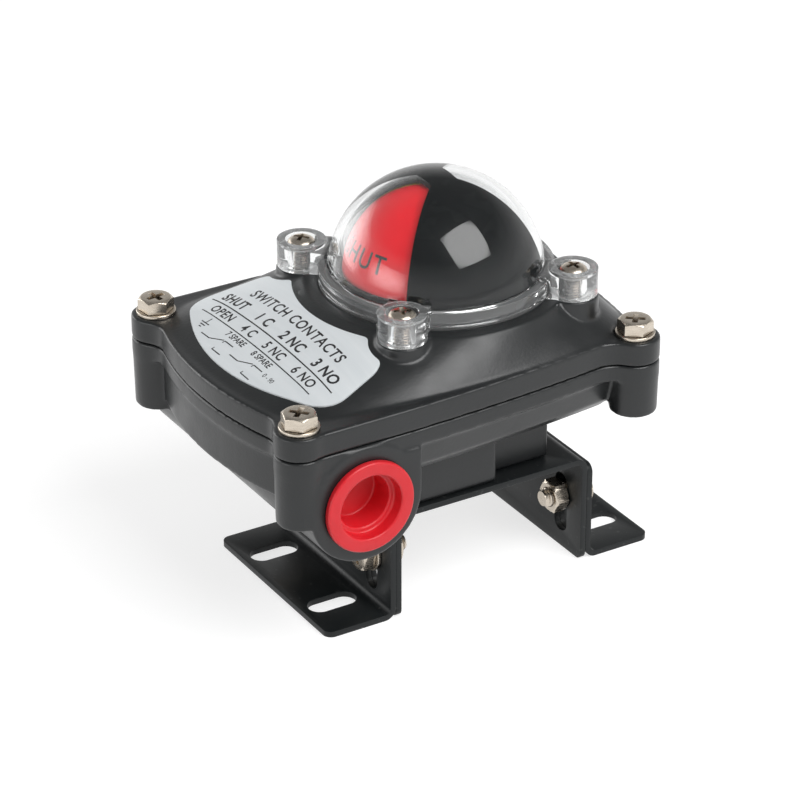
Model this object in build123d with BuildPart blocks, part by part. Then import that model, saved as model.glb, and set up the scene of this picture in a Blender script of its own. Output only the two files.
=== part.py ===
from build123d import *
import os
from math import acos, atan2, cos, degrees, hypot, pi, radians, sin, tan

# Valve limit switch box on its mounting bracket. Millimetres.
# Origin: centre of the foot slot pattern, on the mounting face, on the shaft's axis.
# +X runs along the bracket, +Y points away from the plugged conduit entry, +Z is up the shaft.

# ---------------------------------------------------------------- driving dimensions
# Mounting bracket: a folded cross plate bolted between two angle feet
sheet = 1.6                  # steel sheet thickness
mounting_height = 30.0       # mounting face to the top of the cross plate
bracket_width = 56.0
bridge_span = 57.4           # over the outside of the cross plate's flanges
bend_inside_r = 1.6
foot_reach = 48.8            # shaft axis to the end of a foot
foot_height = 27.5
foot_corner_r = 2.4
foot_spacing_x = 80.0        # slot centres, the standard actuator pattern
foot_spacing_y = 30.0
foot_slot_length = 13.5
foot_slot_width = 6.5
rise_slot_low = 4.5          # upright slots that set the height
rise_slot_high = 21.5
rise_slot_width = 5.6
rise_bolt_y = 18.5
rise_bolt_z = 15.5
plate_hole_r = 11.0          # clearance for the shaft

# Housing plan
box_centre_x = -12.4         # the shaft stands off-centre in the box
bolt_half_x = 48.5
bolt_half_y = 36.6
lobe_r = 6.4
west_bulge = 68.0            # shaft axis to the crown of the conduit end
east_bulge = 42.3
conduit_face_y = 42.9        # shaft axis to the conduit faces
waist_y = 37.2               # half width of the box beside its switch end
web_blend_r = 7.0            # blend between the lobes and the sides

# Housing heights
pedestal_height = 20.0
floor_rise = 19.5            # heights above the cross plate
parting_rise = 31.0
wall = 3.0
body_flange = 4.5
cover_flange = 6.3
seat_rise = 46.8             # where the clear dome sits
crown_r = 33.4               # the round table the dome sits on
roof_wall = 3.4
bowl_taper = 17.0
bowl_inset = 0.9
column_r = 6.3
bowl_edge_taper = 44.0       # draws the bowl in again under its floor
west_column_drop = 14.5      # column lengths under the flange
east_column_drop = 10.1

# Pedestal
pedestal_east = 20.4
pedestal_half_y = 22.0
pedestal_west_half_y = 26.6
pedestal_step_x = 2.0
pedestal_floor = 4.0
base_screw_x = 28.0          # spacing of the screws up through the cross plate
base_screw_y = 32.0
base_post_r = 4.6
base_screw_depth = 5.5

# Conduit entries
conduit_x = -45.7
conduit_rise = 15.1
conduit_r = 10.0             # M20 thread
conduit_boss_r = 15.5
conduit_length = 12.0
conduit_block_west = 12.0    # flat conduit face toward the end wall
plug_flange_r = 12.1
plug_flange = 2.0
plug_wall = 1.5
plug_length = 10.0
plug_step = 1.6              # depth of the plug's wide recess
seal_groove = 1.75           # depth of the shaft's seal grooves
clip_depth = 0.5
dwell_deg = 8.0              # cam dwell past each end of the turn

# Shaft
shaft_r = 4.0
journal_r = 5.0
tang_drop = 14.0             # cross plate to the lower end of the shaft
tang_thickness = 4.0
tang_length = 5.0
spindle_r = 3.0
bush_wall = 2.0
bush_flange_r = 9.0
bush_flange = 1.2
bush_boss_height = 6.0       # bush length above the well's floor
collar = 1.2                 # shaft collar that rides on the lower bush
collar_r = 6.5
running = 0.05               # radial clearance of running fits
fit_gap = 0.05               # clearance of parts that are only assembled
oring_r = 0.9

# Cams and switches
cam_r_low = 9.0
cam_r_high = 11.2
cam_thickness = 5.0
cam_gap = 0.1                # roller to cam
turn_deg = 90.0
spline_count = 24
sleeve_r = 5.9
spline_depth = 0.7
roller_r = 2.4
switch_depth = 15.9
switch_length = 27.8
switch_height = 10.3
switch_gap = 0.3             # insulating card between the two switches
lower_switch_rise = 11.2
switch_face_x = -17.4
lever_pivot_x = -15.9
lever_pivot_y = 16.5
switch_end_margin = 2.4      # lever pivot to the switch's near end
plunger_y = 8.0
plunger_r = 1.2
lever_sheet = 0.5
lever_width = 4.0
switch_hole_r = 1.55
switch_hole_front = 2.9       # screw holes from the switch face and the lever pivot
switch_hole_back = 13.2
switch_hole_far = 22.8
switch_hole_near = 0.6
switch_well = 17.2           # pedestal well past the bearing boss
pin_overhang = 1.2

# Terminal strip
strip_x = -49.0
strip_width = 13.0
strip_base_rise = 16.5
strip_base = 5.0
pole_pitch = 5.6
pole_count = 8
barrier = 4.6
barrier_sheet = 1.1
strip_end = 7.0

# Fasteners
m5_r = 2.5
m5_head_af = 8.0
m5_head = 3.4
m5_washer_r = 5.1
m5_washer = 1.0
m5_nut = 4.0
m4_r = 2.0
m3_r = 1.5
hole_gap = 0.25              # clearance hole over the screw
thread_gap = 0.05            # thread flank gap, both drawn as plain cylinders
recess_width = 1.0

# Clear dome and indicator
dome_r = 27.8
dome_wall = 2.0
dome_centre_rise = 1.4       # above the seat
dome_ring_r = 30.0
dome_ring = 4.6
lug_x = 25.0
lug_y = 24.7
lug_r = 6.3
lug = 7.2
lug_tab = 6.0                # height of the tab from the ring to a lug
lug_tab_width = 11.0
mask_gap = 0.05              # clear dome to the black mask, which lines it
mask_wall = 1.2
mask_band_rise = 4.7         # seat to the lower edge of the windows
window_apex = 3.6            # from the shaft to the cut-off tip of each window
window_half_angle = 42.0     # from the middle of a window to its side
drum_gap = 0.7
drum_wall = 1.4
drum_floor = 1.5
drum_lift = 1.0
drum_hub_r = 5.2
drum_hub_height = 8.0

# Label
label_thickness = 0.35
label_outer_r = 62.4
label_inner_r = 36.6
label_notch_r = 8.4
label_half_y = 34.5
label_tip_y = 28.4
label_corner_r = 2.0
label_end_r = 8.0            # rounding of the fan's two outer corners
label_side_x = -51.0
label_inner_x = 31.0

# Details of the housing and cover
strip_post_r = 3.6
strip_screw_depth = 6.0
plate_screw_depth = 3.2
earth_point = (-20.0, -27.5)
earth_boss_r = 4.5
earth_boss = 2.5
earth_screw_depth = 4.0
cover_thread_depth = 11.0
gasket_depth = 1.6
gasket_width = 1.8
gasket_margin = 1.4          # box side to the gasket groove
gasket_bolt_clear = 4.4
roof_inset = 1.0
roof_corner_r = 16.0
cavity_inset = 6.0
cavity_corner_r = 11.0
lug_boss_margin = 0.3
pillar_r = 4.4
upper_bush_length = 6.0
dome_thread_depth = 7.0
seal_r = 28.6
seal_width = 1.8
seal_depth = 1.4
head_sink = 1.8
m4_head_r = 3.6
m4_head = 2.4
m3_head_r = 2.7
m3_head = 1.8
sector_gap = 0.05            # between the drum's coloured quadrants
drum_eye_r = 1.6
drum_screw_depth = 5.0

# Details of the shaft, cams and switches
sleeve_floor = 1.1           # sleeve flange under the lower cam
sleeve_flange_r = 8.0
cam_bore_gap = 0.15
spring_wire_r = 0.45
spring_turns = 3.0
spring_r = 7.2
cam_clip = 0.9
cam_clip_r = 7.6
clip_gap = 0.1
sleeve_pin_r = 1.0
shaft_clip = 0.8
shaft_clip_r = 7.2
roller_height = 2.6
lever_ear = 0.5
roller_side_gap = 0.1
roller_pin_r = 0.75
lever_eye_r = 1.1
lever_pin_r = 0.6
plunger_gap = 0.28           # plunger crown to the lever's middle line, less half the sheet
plunger_stub = 2.6           # plunger length inside the switch
tab_length = 6.4
tab_width = 4.0
tab_sheet = 0.5
switch_plate_east = -9.6
clamp_width = 3.6
clamp_length = 10.4
clamp_sheet = 0.7
strip_screw_row = 3.6        # screw rows from the strip's middle

# ---------------------------------------------------------------- derived places
west_x = box_centre_x - bolt_half_x
east_x = box_centre_x + bolt_half_x
bolt_points = [(x, y) for x in (west_x, east_x) for y in (-bolt_half_y, bolt_half_y)]
west_points = [point for point in bolt_points if point[0] == west_x]
east_points = [point for point in bolt_points if point[0] == east_x]
lug_points = [(x, y) for x in (-lug_x, lug_x) for y in (-lug_y, lug_y)]
floor_z = mounting_height + floor_rise
parting_z = mounting_height + parting_rise
seat_z = mounting_height + seat_rise
conduit_z = mounting_height + conduit_rise
lower_switch_z = mounting_height + lower_switch_rise
strip_base_z = mounting_height + strip_base_rise
tang_z = mounting_height - tang_drop
dome_centre_z = seat_z + dome_centre_rise
mask_band_z = seat_z + mask_band_rise
rim_z = parting_z + cover_flange
lug_reach = hypot(lug_x, lug_y)
lug_angle = degrees(atan2(lug_y, lug_x))
cover_bolt_length = cover_flange + m5_washer + 10.0
flange_z = parting_z - body_flange
plate_z = mounting_height - sheet
well_floor_z = mounting_height + pedestal_floor
bush_high = well_floor_z + bush_boss_height
collar_z = bush_high + bush_flange + fit_gap
sleeve_z = collar_z + collar + fit_gap
lower_bush_r = journal_r + running + bush_wall
upper_bush_r = shaft_r + running + bush_wall
switch_plate_z = lower_switch_z - sheet
link_floor_z = switch_plate_z - 0.1
base_post_top = switch_plate_z
cam_centre_lower = lower_switch_z + switch_height / 2
switch_pitch = switch_height + switch_gap
cam_centre_upper = cam_centre_lower + switch_pitch
upper_switch_z = lower_switch_z + switch_pitch
foot_inner_x = bridge_span / 2 + fit_gap
foot_face_x = foot_inner_x + sheet
nut_face_x = bridge_span / 2 - sheet
rise_slot_z = (rise_slot_low + rise_slot_high) / 2
rise_slot_centres = [(-rise_bolt_y, rise_slot_z), (rise_bolt_y, rise_slot_z)]
foot_bolt_length = m5_washer + 2 * sheet + m5_nut + 2.0
left_bolt_planes = [Plane((-foot_face_x, y, rise_bolt_z), x_dir=(0, 1, 0), z_dir=(-1, 0, 0))
                    for y in (-rise_bolt_y, rise_bolt_y)]
right_bolt_planes = [Plane((foot_face_x, y, rise_bolt_z), x_dir=(0, 1, 0), z_dir=(1, 0, 0))
                     for y in (-rise_bolt_y, rise_bolt_y)]
left_nut_planes = [Plane((-nut_face_x, y, rise_bolt_z), x_dir=(0, 1, 0), z_dir=(1, 0, 0))
                   for y in (-rise_bolt_y, rise_bolt_y)]
right_nut_planes = [Plane((nut_face_x, y, rise_bolt_z), x_dir=(0, 1, 0), z_dir=(-1, 0, 0))
                    for y in (-rise_bolt_y, rise_bolt_y)]
pedestal_west_x = conduit_x + conduit_boss_r
web_angle = degrees(atan2(bolt_half_y - pedestal_half_y + wall, east_x - pedestal_east + wall))
well_west_x = -(lower_bush_r + wall) - switch_well
well_half_y = pedestal_half_y - wall
conduit_well_y = conduit_face_y - conduit_length
strip_length = pole_count * pole_pitch + 2 * strip_end
strip_screw_points = [(strip_x, y) for y in (strip_end / 2 - strip_length / 2, strip_length / 2 - strip_end / 2)]
plate_screw_points = [(-base_screw_x / 2, -base_screw_y / 2), (-base_screw_x / 2, base_screw_y / 2)]
mask_r = dome_r - dome_wall - mask_gap
drum_r = mask_r - mask_wall - drum_gap
drum_z = seat_z + bush_flange + drum_lift
spindle_top_z = drum_z + drum_hub_height
spindle_base_z = seat_z + bush_flange + drum_lift / 2
journal_low_z = plate_z - 1.6
shaft_clip_z = mounting_height - shaft_clip - clip_gap
lower_seal_z = (mounting_height + bush_high) / 2
upper_seal_z = seat_z - upper_bush_length / 2
spring_z = cam_centre_lower + cam_thickness / 2
spring_height = cam_centre_upper - cam_thickness / 2 - spring_z
cam_clip_z = cam_centre_upper + cam_thickness / 2
sleeve_top_z = cam_clip_z + cam_clip + 4.0
sleeve_pin_z = sleeve_top_z - 1.6
# lever geometry, seen from above: the arm runs from the pivot to the roller
roller_low_x = -(cam_r_low + roller_r + cam_gap)
arm = hypot(roller_low_x - lever_pivot_x, lever_pivot_y)
arm_angle = atan2(roller_low_x - lever_pivot_x, lever_pivot_y)
pivot_r = hypot(lever_pivot_x, lever_pivot_y)
bend_high = ((cam_r_high + roller_r + cam_gap) ** 2 - pivot_r ** 2 - arm ** 2) / (2 * pivot_r * arm)
bend_low = (roller_low_x ** 2 - pivot_r ** 2 - arm ** 2) / (2 * pivot_r * arm)
press_angle = degrees(acos(bend_low) - acos(bend_high))
switch_near_y = lever_pivot_y + switch_end_margin
switch_back_x = switch_face_x - switch_depth
tab_rows = [switch_near_y - switch_length / 2 + step for step in (-9.5, 0.0, 9.5)]
terminal_points = [(strip_x + side * strip_screw_row, (pole + 0.5 - pole_count / 2) * pole_pitch)
                   for side in (-1, 1) for pole in range(pole_count)]


def plunger_line_x(lever_angle):
    """Where the lever's centre line crosses the plunger's axis."""
    return lever_pivot_x + (lever_pivot_y - plunger_y) * sin(lever_angle) / cos(lever_angle)


plunger_travel = plunger_line_x(arm_angle) - plunger_line_x(arm_angle - radians(press_angle))
os.makedirs("parts", exist_ok=True)


# ---------------------------------------------------------------- shared shapes
def hex_head_screw(radius, length, across_flats, head, washer=0.0):
    """Hexagon-head screw with a cross recess; the head's underside is at z = washer."""
    with BuildPart() as screw:
        with BuildSketch(Plane.XY.offset(washer)):
            RegularPolygon(radius=across_flats / 2, side_count=6, major_radius=False)
        extrude(amount=head)
        with BuildSketch(Plane.XY.offset(washer + head / 2)):
            Circle(across_flats * 0.56)
        extrude(amount=head, both=True, mode=Mode.INTERSECT)
        with BuildSketch(Plane.XY.offset(washer)):
            Circle(radius)
        extrude(amount=-length)
        chamfer(screw.edges().group_by(Axis.Z)[0], radius * 0.2)
        with BuildSketch(Plane.XY.offset(washer + head)):
            Rectangle(across_flats * 0.56, recess_width)
            Rectangle(recess_width, across_flats * 0.56)
        extrude(amount=-head * 0.4, mode=Mode.SUBTRACT)
    return screw.part


def pan_screw(radius, length, head_r, head):
    """Pan-head screw with a cross recess; the head's underside is at z = 0."""
    with BuildPart() as screw:
        Cylinder(head_r, head, align=(Align.CENTER, Align.CENTER, Align.MIN))
        fillet(screw.edges().group_by(Axis.Z)[-1], head * 0.45)
        with BuildSketch():
            Circle(radius)
        extrude(amount=-length)
        with BuildSketch(Plane.XY.offset(head)):
            Rectangle(head_r * 1.2, head_r * 0.3)
            Rectangle(head_r * 0.3, head_r * 1.2)
        extrude(amount=-head * 0.5, mode=Mode.SUBTRACT)
    return screw.part


def washer(inner_r, outer_r, thickness):
    """Flat washer standing on z = 0."""
    with BuildPart() as ring:
        with BuildSketch():
            Circle(outer_r)
            Circle(inner_r, mode=Mode.SUBTRACT)
        extrude(amount=thickness)
    return ring.part


def hex_nut(radius, across_flats, height):
    """Hexagon nut standing on z = 0."""
    with BuildPart() as nut:
        with BuildSketch():
            RegularPolygon(radius=across_flats / 2, side_count=6, major_radius=False)
            Circle(radius + thread_gap, mode=Mode.SUBTRACT)
        extrude(amount=height)
    return nut.part


def arc_radius_point(radius, angle):
    """Point on a circle about the shaft axis."""
    return (radius * cos(radians(angle)), radius * sin(radians(angle)))


# ---------------------------------------------------------------- plan outlines
# The box's sides without its corner lobes, as four bulged sides
side_west_y = bolt_half_y - 3.4
side_east_y = bolt_half_y - 3.2
with BuildSketch() as tub_plan:
    with BuildLine():
        south_west = (west_x - 1.4, -side_west_y)
        south_corner = (west_x, -conduit_face_y + 0.5)
        south_knee = (conduit_x + 10.0, -conduit_face_y + 0.7)
        south_middle = (-8.0, -(conduit_face_y + waist_y) / 2 - 1.0)
        south_east = (east_x - 5.2, -waist_y)
        east_low = (east_x + 2.6, -side_east_y)
        ThreePointArc((south_west[0], side_west_y), (-west_bulge, 0), south_west)
        Line(south_west, south_corner)
        Line(south_corner, south_knee)
        ThreePointArc(south_knee, south_middle, south_east)
        Line(south_east, east_low)
        ThreePointArc(east_low, (east_bulge, 0), (east_low[0], side_east_y))
        Line((east_low[0], side_east_y), (south_east[0], waist_y))
        ThreePointArc((south_east[0], waist_y), (south_middle[0], -south_middle[1]),
                      (south_knee[0], -south_knee[1]))
        Line((south_knee[0], -south_knee[1]), (south_corner[0], -south_corner[1]))
        Line((south_corner[0], -south_corner[1]), (south_west[0], side_west_y))
    make_face()

# The full outline: sides and lobes, with the inner corners blended
with BuildSketch() as box_plan:
    add(tub_plan.sketch)
    with Locations(*bolt_points):
        Circle(lobe_r)
    offset(amount=web_blend_r, kind=Kind.ARC)
    offset(amount=-web_blend_r, kind=Kind.ARC)

# The inside of the tub, clear of the four bolt columns
with BuildSketch() as tub_inside:
    add(tub_plan.sketch)
    offset(amount=-(wall + 1.4 + 4.0), kind=Kind.INTERSECTION)
    offset(amount=4.0, kind=Kind.ARC)
    with Locations(*bolt_points):
        Circle(lobe_r + 1.2, mode=Mode.SUBTRACT)


# Gasket groove between the outline and the inside, passing inside the bolts
with BuildSketch() as gasket_plan:
    with BuildSketch(mode=Mode.PRIVATE) as gasket_inner:
        add(tub_plan.sketch)
        offset(amount=-(gasket_margin + gasket_width), kind=Kind.INTERSECTION)
        with Locations(*bolt_points):
            Circle(gasket_bolt_clear + gasket_width, mode=Mode.SUBTRACT)
    add(tub_plan.sketch)
    offset(amount=-gasket_margin, kind=Kind.INTERSECTION)
    with Locations(*bolt_points):
        Circle(gasket_bolt_clear, mode=Mode.SUBTRACT)
    add(gasket_inner.sketch, mode=Mode.SUBTRACT)



def roof_outline(inset, z, corner):
    """The roof's lower outline: four bulged sides and four round corners."""
    with BuildSketch(Plane.XY.offset(z)) as outline:
        with BuildLine():
            w_x = west_x - 2.5 + inset
            e_x = east_x + 3.0 - inset
            w_y = side_west_y + 3.6 - inset
            e_y = waist_y - inset
            ThreePointArc((w_x, w_y), (inset - west_bulge, 0), (w_x, -w_y))
            ThreePointArc((w_x, -w_y), (south_middle[0], south_middle[1] + inset), (e_x, -e_y))
            ThreePointArc((e_x, -e_y), (east_bulge - inset, 0), (e_x, e_y))
            ThreePointArc((e_x, e_y), (south_middle[0], -south_middle[1] - inset), (w_x, w_y))
        make_face()
        fillet(outline.vertices(), corner)
    return outline


def round_table(radius, z):
    """The roof's upper outline, a circle cut into eight arcs to match roof_outline."""
    stops = [139, 221, 231, 309, 319, 401, 411, 489, 499]
    with BuildSketch(Plane.XY.offset(z)) as outline:
        with BuildLine():
            for first, last in zip(stops[:-1], stops[1:]):
                ThreePointArc(arc_radius_point(radius, first),
                              arc_radius_point(radius, (first + last) / 2),
                              arc_radius_point(radius, last))
        make_face()
    return outline


def roof_solid(low_z, high_z, inset, corner, table_r):
    """The sloped roof between the rim and the round table."""
    lower = roof_outline(inset, low_z, corner)
    upper = round_table(table_r, high_z)
    with BuildPart() as roof:
        loft(sections=[lower.sketch.face(), upper.sketch.face()], ruled=True)
    return roof.part


# ---------------------------------------------------------------- bracket
with BuildPart() as bracket_bridge:
    with BuildSketch(Plane.XZ.offset(-bracket_width / 2)):
        with BuildLine():
            half = bridge_span / 2
            FilletPolyline((-half, 0), (-half, mounting_height), (half, mounting_height), (half, 0),
                           radius=bend_inside_r + sheet)
            offset(amount=-sheet, kind=Kind.ARC, side=Side.RIGHT)
        make_face()
    extrude(amount=bracket_width)
    with BuildSketch(Plane.XY.offset(mounting_height)):
        Circle(plate_hole_r)
        with GridLocations(base_screw_x, base_screw_y, 2, 2):
            Circle(m5_r + hole_gap)
    extrude(amount=-2 * sheet, mode=Mode.SUBTRACT)
    with BuildSketch(Plane.YZ):
        with Locations(*rise_slot_centres):
            SlotOverall(rise_slot_high - rise_slot_low, rise_slot_width, rotation=90)
    extrude(amount=bridge_span, both=True, mode=Mode.SUBTRACT)
    fillet(bracket_bridge.edges().filter_by(Axis.X).group_by(Axis.Z)[0], foot_corner_r * 0.8)
bracket_bridge.part.label = "bracket_bridge"
export_step(bracket_bridge.part, "parts/bracket_bridge.step")


# Each foot is an L: an upright plate against the flange and a slotted foot plate
with BuildPart() as foot_left:
    with BuildSketch(Plane.XZ.offset(-bracket_width / 2)):
        with BuildLine():
            FilletPolyline((-foot_inner_x, foot_height), (-foot_inner_x, 0), (-foot_reach, 0),
                           radius=bend_inside_r + sheet)
            offset(amount=-sheet, kind=Kind.ARC, side=Side.RIGHT)
        make_face()
    extrude(amount=bracket_width)
    with BuildSketch(Plane.XY):
        with Locations((-foot_spacing_x / 2, -foot_spacing_y / 2),
                       (-foot_spacing_x / 2, foot_spacing_y / 2)):
            SlotOverall(foot_slot_length, foot_slot_width)
    extrude(amount=2 * sheet, mode=Mode.SUBTRACT)
    with BuildSketch(Plane.YZ):
        with Locations(*rise_slot_centres):
            SlotOverall(rise_slot_high - rise_slot_low, rise_slot_width, rotation=90)
    extrude(amount=-foot_reach, mode=Mode.SUBTRACT)
    fillet(foot_left.edges().filter_by(Axis.X).group_by(Axis.Z)[-1], foot_corner_r)
    fillet(foot_left.edges().filter_by(Axis.Z).sort_by(Axis.X)[:2], foot_corner_r)
foot_left.part.label = "foot_left"
export_step(foot_left.part, "parts/foot_left.step")

with BuildPart() as foot_right:
    mirror(foot_left.part, about=Plane.YZ)
foot_right.part.label = "foot_right"
export_step(foot_right.part, "parts/foot_right.step")

# Bolts through the upright slots: heads outside the feet, nuts inside the flanges
foot_bolt = hex_head_screw(m5_r, foot_bolt_length, m5_head_af, m5_head, m5_washer)
m5_washer_part = washer(m5_r + hole_gap, m5_washer_r, m5_washer)
m5_nut_part = hex_nut(m5_r, m5_head_af, m5_nut)
with BuildPart() as foot_bolts:
    with Locations(*left_bolt_planes, *right_bolt_planes):
        add(foot_bolt)
foot_bolts.part.label = "foot_bolts"
export_step(foot_bolts.part, "parts/foot_bolts.step")

with BuildPart() as foot_washers:
    with Locations(*left_bolt_planes, *right_bolt_planes):
        add(m5_washer_part)
foot_washers.part.label = "foot_washers"
export_step(foot_washers.part, "parts/foot_washers.step")

with BuildPart() as foot_nuts:
    with Locations(*left_nut_planes, *right_nut_planes):
        add(m5_nut_part)
foot_nuts.part.label = "foot_nuts"
export_step(foot_nuts.part, "parts/foot_nuts.step")


# ---------------------------------------------------------------- housing
with BuildPart() as housing:
    # flange with its lobes
    with BuildSketch(Plane.XY.offset(flange_z)):
        add(box_plan.sketch_local)
    extrude(amount=body_flange)
    # bowl, drawn in towards the floor
    with BuildSketch(Plane.XY.offset(flange_z)):
        add(tub_plan.sketch_local)
        offset(amount=-bowl_inset, kind=Kind.INTERSECTION)
    extrude(amount=-(flange_z - floor_z), taper=bowl_taper)
    with BuildSketch(Plane.XY.offset(floor_z)):
        add(tub_plan.sketch_local)
        offset(amount=-(bowl_inset + (flange_z - floor_z) * tan(radians(bowl_taper))),
               kind=Kind.INTERSECTION)
    extrude(amount=-wall, taper=bowl_edge_taper)
    # upright end wall and the conduit barrel
    with BuildSketch(Plane.XY.offset(flange_z)):
        add(tub_plan.sketch_local)
        offset(amount=-bowl_inset, kind=Kind.INTERSECTION)
        with Locations((conduit_x + conduit_boss_r, 0)):
            Rectangle(2 * west_bulge, 2 * west_bulge, align=(Align.MIN, Align.CENTER), mode=Mode.SUBTRACT)
    extrude(amount=-(flange_z - conduit_z))
    with BuildSketch(Plane.XZ.offset(conduit_face_y)):
        with Locations((conduit_x, conduit_z)):
            Circle(conduit_boss_r)
        with Locations((conduit_x - conduit_block_west, conduit_z)):
            Rectangle(conduit_block_west + conduit_boss_r, flange_z - conduit_z,
                      align=(Align.MIN, Align.MIN))
    extrude(amount=-2 * conduit_face_y)
    # bolt columns
    for points, drop in ((west_points, west_column_drop), (east_points, east_column_drop)):
        with BuildSketch(Plane.XY.offset(flange_z)):
            with Locations(*points):
                Circle(column_r)
        extrude(amount=-drop, taper=1.0)
    # pedestal that stands on the cross plate
    with BuildSketch(Plane.XY.offset(mounting_height)):
        with BuildLine():
            Polyline((pedestal_west_x, -pedestal_west_half_y), (pedestal_step_x, -pedestal_west_half_y),
                     (pedestal_step_x, -pedestal_half_y), (pedestal_east, -pedestal_half_y),
                     (pedestal_east, pedestal_half_y), (pedestal_step_x, pedestal_half_y),
                     (pedestal_step_x, pedestal_west_half_y), (pedestal_west_x, pedestal_west_half_y),
                     close=True)
        make_face()
    extrude(amount=pedestal_height)
    # webs from the pedestal's corners to the two columns at the switch end
    for side in (-1, 1):
        with BuildSketch(Plane.XY.offset(flange_z)):
            with BuildLine():
                web = Line((pedestal_east - wall, side * (pedestal_half_y - wall)),
                           (east_x, side * bolt_half_y))
            SlotCenterToCenter(web.length, wall + 1.0, rotation=side * web_angle)
        extrude(amount=-east_column_drop)
    # inside: main tub, pedestal well, conduit well and the way between the wells
    with BuildSketch(Plane.XY.offset(floor_z)):
        add(tub_inside.sketch_local)
    extrude(amount=body_flange + floor_z, mode=Mode.SUBTRACT)
    with BuildSketch(Plane.XY.offset(well_floor_z)):
        with Locations((well_west_x, 0)):
            Rectangle(pedestal_east - wall - well_west_x, 2 * well_half_y,
                      align=(Align.MIN, Align.CENTER))
    extrude(amount=floor_z - well_floor_z, mode=Mode.SUBTRACT)
    with BuildSketch(Plane.XY.offset(link_floor_z)):
        with Locations((conduit_x, 0)):
            Rectangle(well_west_x - conduit_x + 1.0, 2 * well_half_y,
                      align=(Align.MIN, Align.CENTER))
    extrude(amount=floor_z - link_floor_z, mode=Mode.SUBTRACT)
    with BuildSketch(Plane.XZ.offset(conduit_well_y)):
        with Locations((conduit_x, conduit_z)):
            Circle(conduit_boss_r - wall)
            Rectangle(2 * (conduit_boss_r - wall), floor_z - conduit_z,
                      align=(Align.CENTER, Align.MIN))
    extrude(amount=-2 * conduit_well_y, mode=Mode.SUBTRACT)
    # conduit entries on both sides
    with BuildSketch(Plane.XZ.offset(conduit_face_y + 1.0)):
        with Locations((conduit_x, conduit_z)):
            Circle(conduit_r)
    extrude(amount=-2 * (conduit_face_y + 1.0), mode=Mode.SUBTRACT)
    # bearing boss, base screw posts and terminal strip posts
    with BuildSketch(Plane.XY.offset(mounting_height)):
        Circle(lower_bush_r + wall)
    extrude(amount=bush_high - mounting_height)
    with BuildSketch(Plane.XY.offset(mounting_height)):
        with GridLocations(base_screw_x, base_screw_y, 2, 2):
            Circle(base_post_r)
    extrude(amount=base_post_top - mounting_height)
    with BuildSketch(Plane.XY.offset(conduit_z - conduit_boss_r + wall / 2)):
        with Locations(*strip_screw_points):
            Circle(strip_post_r)
    extrude(amount=strip_base_z - conduit_z + conduit_boss_r - wall / 2)
    with BuildSketch(Plane.XY.offset(floor_z)):
        with Locations(earth_point):
            Circle(earth_boss_r)
    extrude(amount=earth_boss)
    # bush seat and the screw holes
    with BuildSketch(Plane.XY.offset(mounting_height)):
        Circle(lower_bush_r)
    extrude(amount=bush_high, mode=Mode.SUBTRACT)
    with BuildSketch(Plane.XY.offset(mounting_height)):
        with GridLocations(base_screw_x, base_screw_y, 2, 2):
            Circle(m5_r + thread_gap)
    extrude(amount=base_screw_depth, mode=Mode.SUBTRACT)
    with BuildSketch(Plane.XY.offset(base_post_top)):
        with Locations(*plate_screw_points):
            Circle(m3_r + thread_gap)
    extrude(amount=-plate_screw_depth, mode=Mode.SUBTRACT)
    with BuildSketch(Plane.XY.offset(strip_base_z)):
        with Locations(*strip_screw_points):
            Circle(m3_r + thread_gap)
    extrude(amount=-strip_screw_depth, mode=Mode.SUBTRACT)
    with BuildSketch(Plane.XY.offset(floor_z + earth_boss)):
        with Locations(earth_point):
            Circle(m4_r + thread_gap)
    extrude(amount=-earth_screw_depth, mode=Mode.SUBTRACT)
    with BuildSketch(Plane.XY.offset(parting_z)):
        with Locations(*bolt_points):
            Circle(m5_r + thread_gap)
    extrude(amount=-cover_thread_depth, mode=Mode.SUBTRACT)
    # gasket groove
    with BuildSketch(Plane.XY.offset(parting_z)):
        add(gasket_plan.sketch_local)
    extrude(amount=-gasket_depth, mode=Mode.SUBTRACT)
housing.part.label = "housing"
export_step(housing.part, "parts/housing.step")

with BuildPart() as cover_gasket:
    with BuildSketch(Plane.XY.offset(parting_z - gasket_depth)):
        add(gasket_plan.sketch_local)
    extrude(amount=gasket_depth)
cover_gasket.part.label = "cover_gasket"
export_step(cover_gasket.part, "parts/cover_gasket.step")

# Screws up through the cross plate into the pedestal
base_screw = hex_head_screw(m5_r, sheet + base_screw_depth - 0.8, m5_head_af, m5_head)
with BuildPart() as base_screws:
    with Locations(*[Plane((x, y, plate_z), z_dir=(0, 0, -1))
                     for x in (-base_screw_x / 2, base_screw_x / 2)
                     for y in (-base_screw_y / 2, base_screw_y / 2)]):
        add(base_screw)
base_screws.part.label = "base_screws"
export_step(base_screws.part, "parts/base_screws.step")

earth_screw_part = pan_screw(m4_r, earth_screw_depth - 0.5, m4_head_r, m4_head)
with BuildPart() as earth_screw:
    with Locations((earth_point[0], earth_point[1], floor_z + earth_boss)):
        add(earth_screw_part)
earth_screw.part.label = "earth_screw"
export_step(earth_screw.part, "parts/earth_screw.step")


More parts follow.
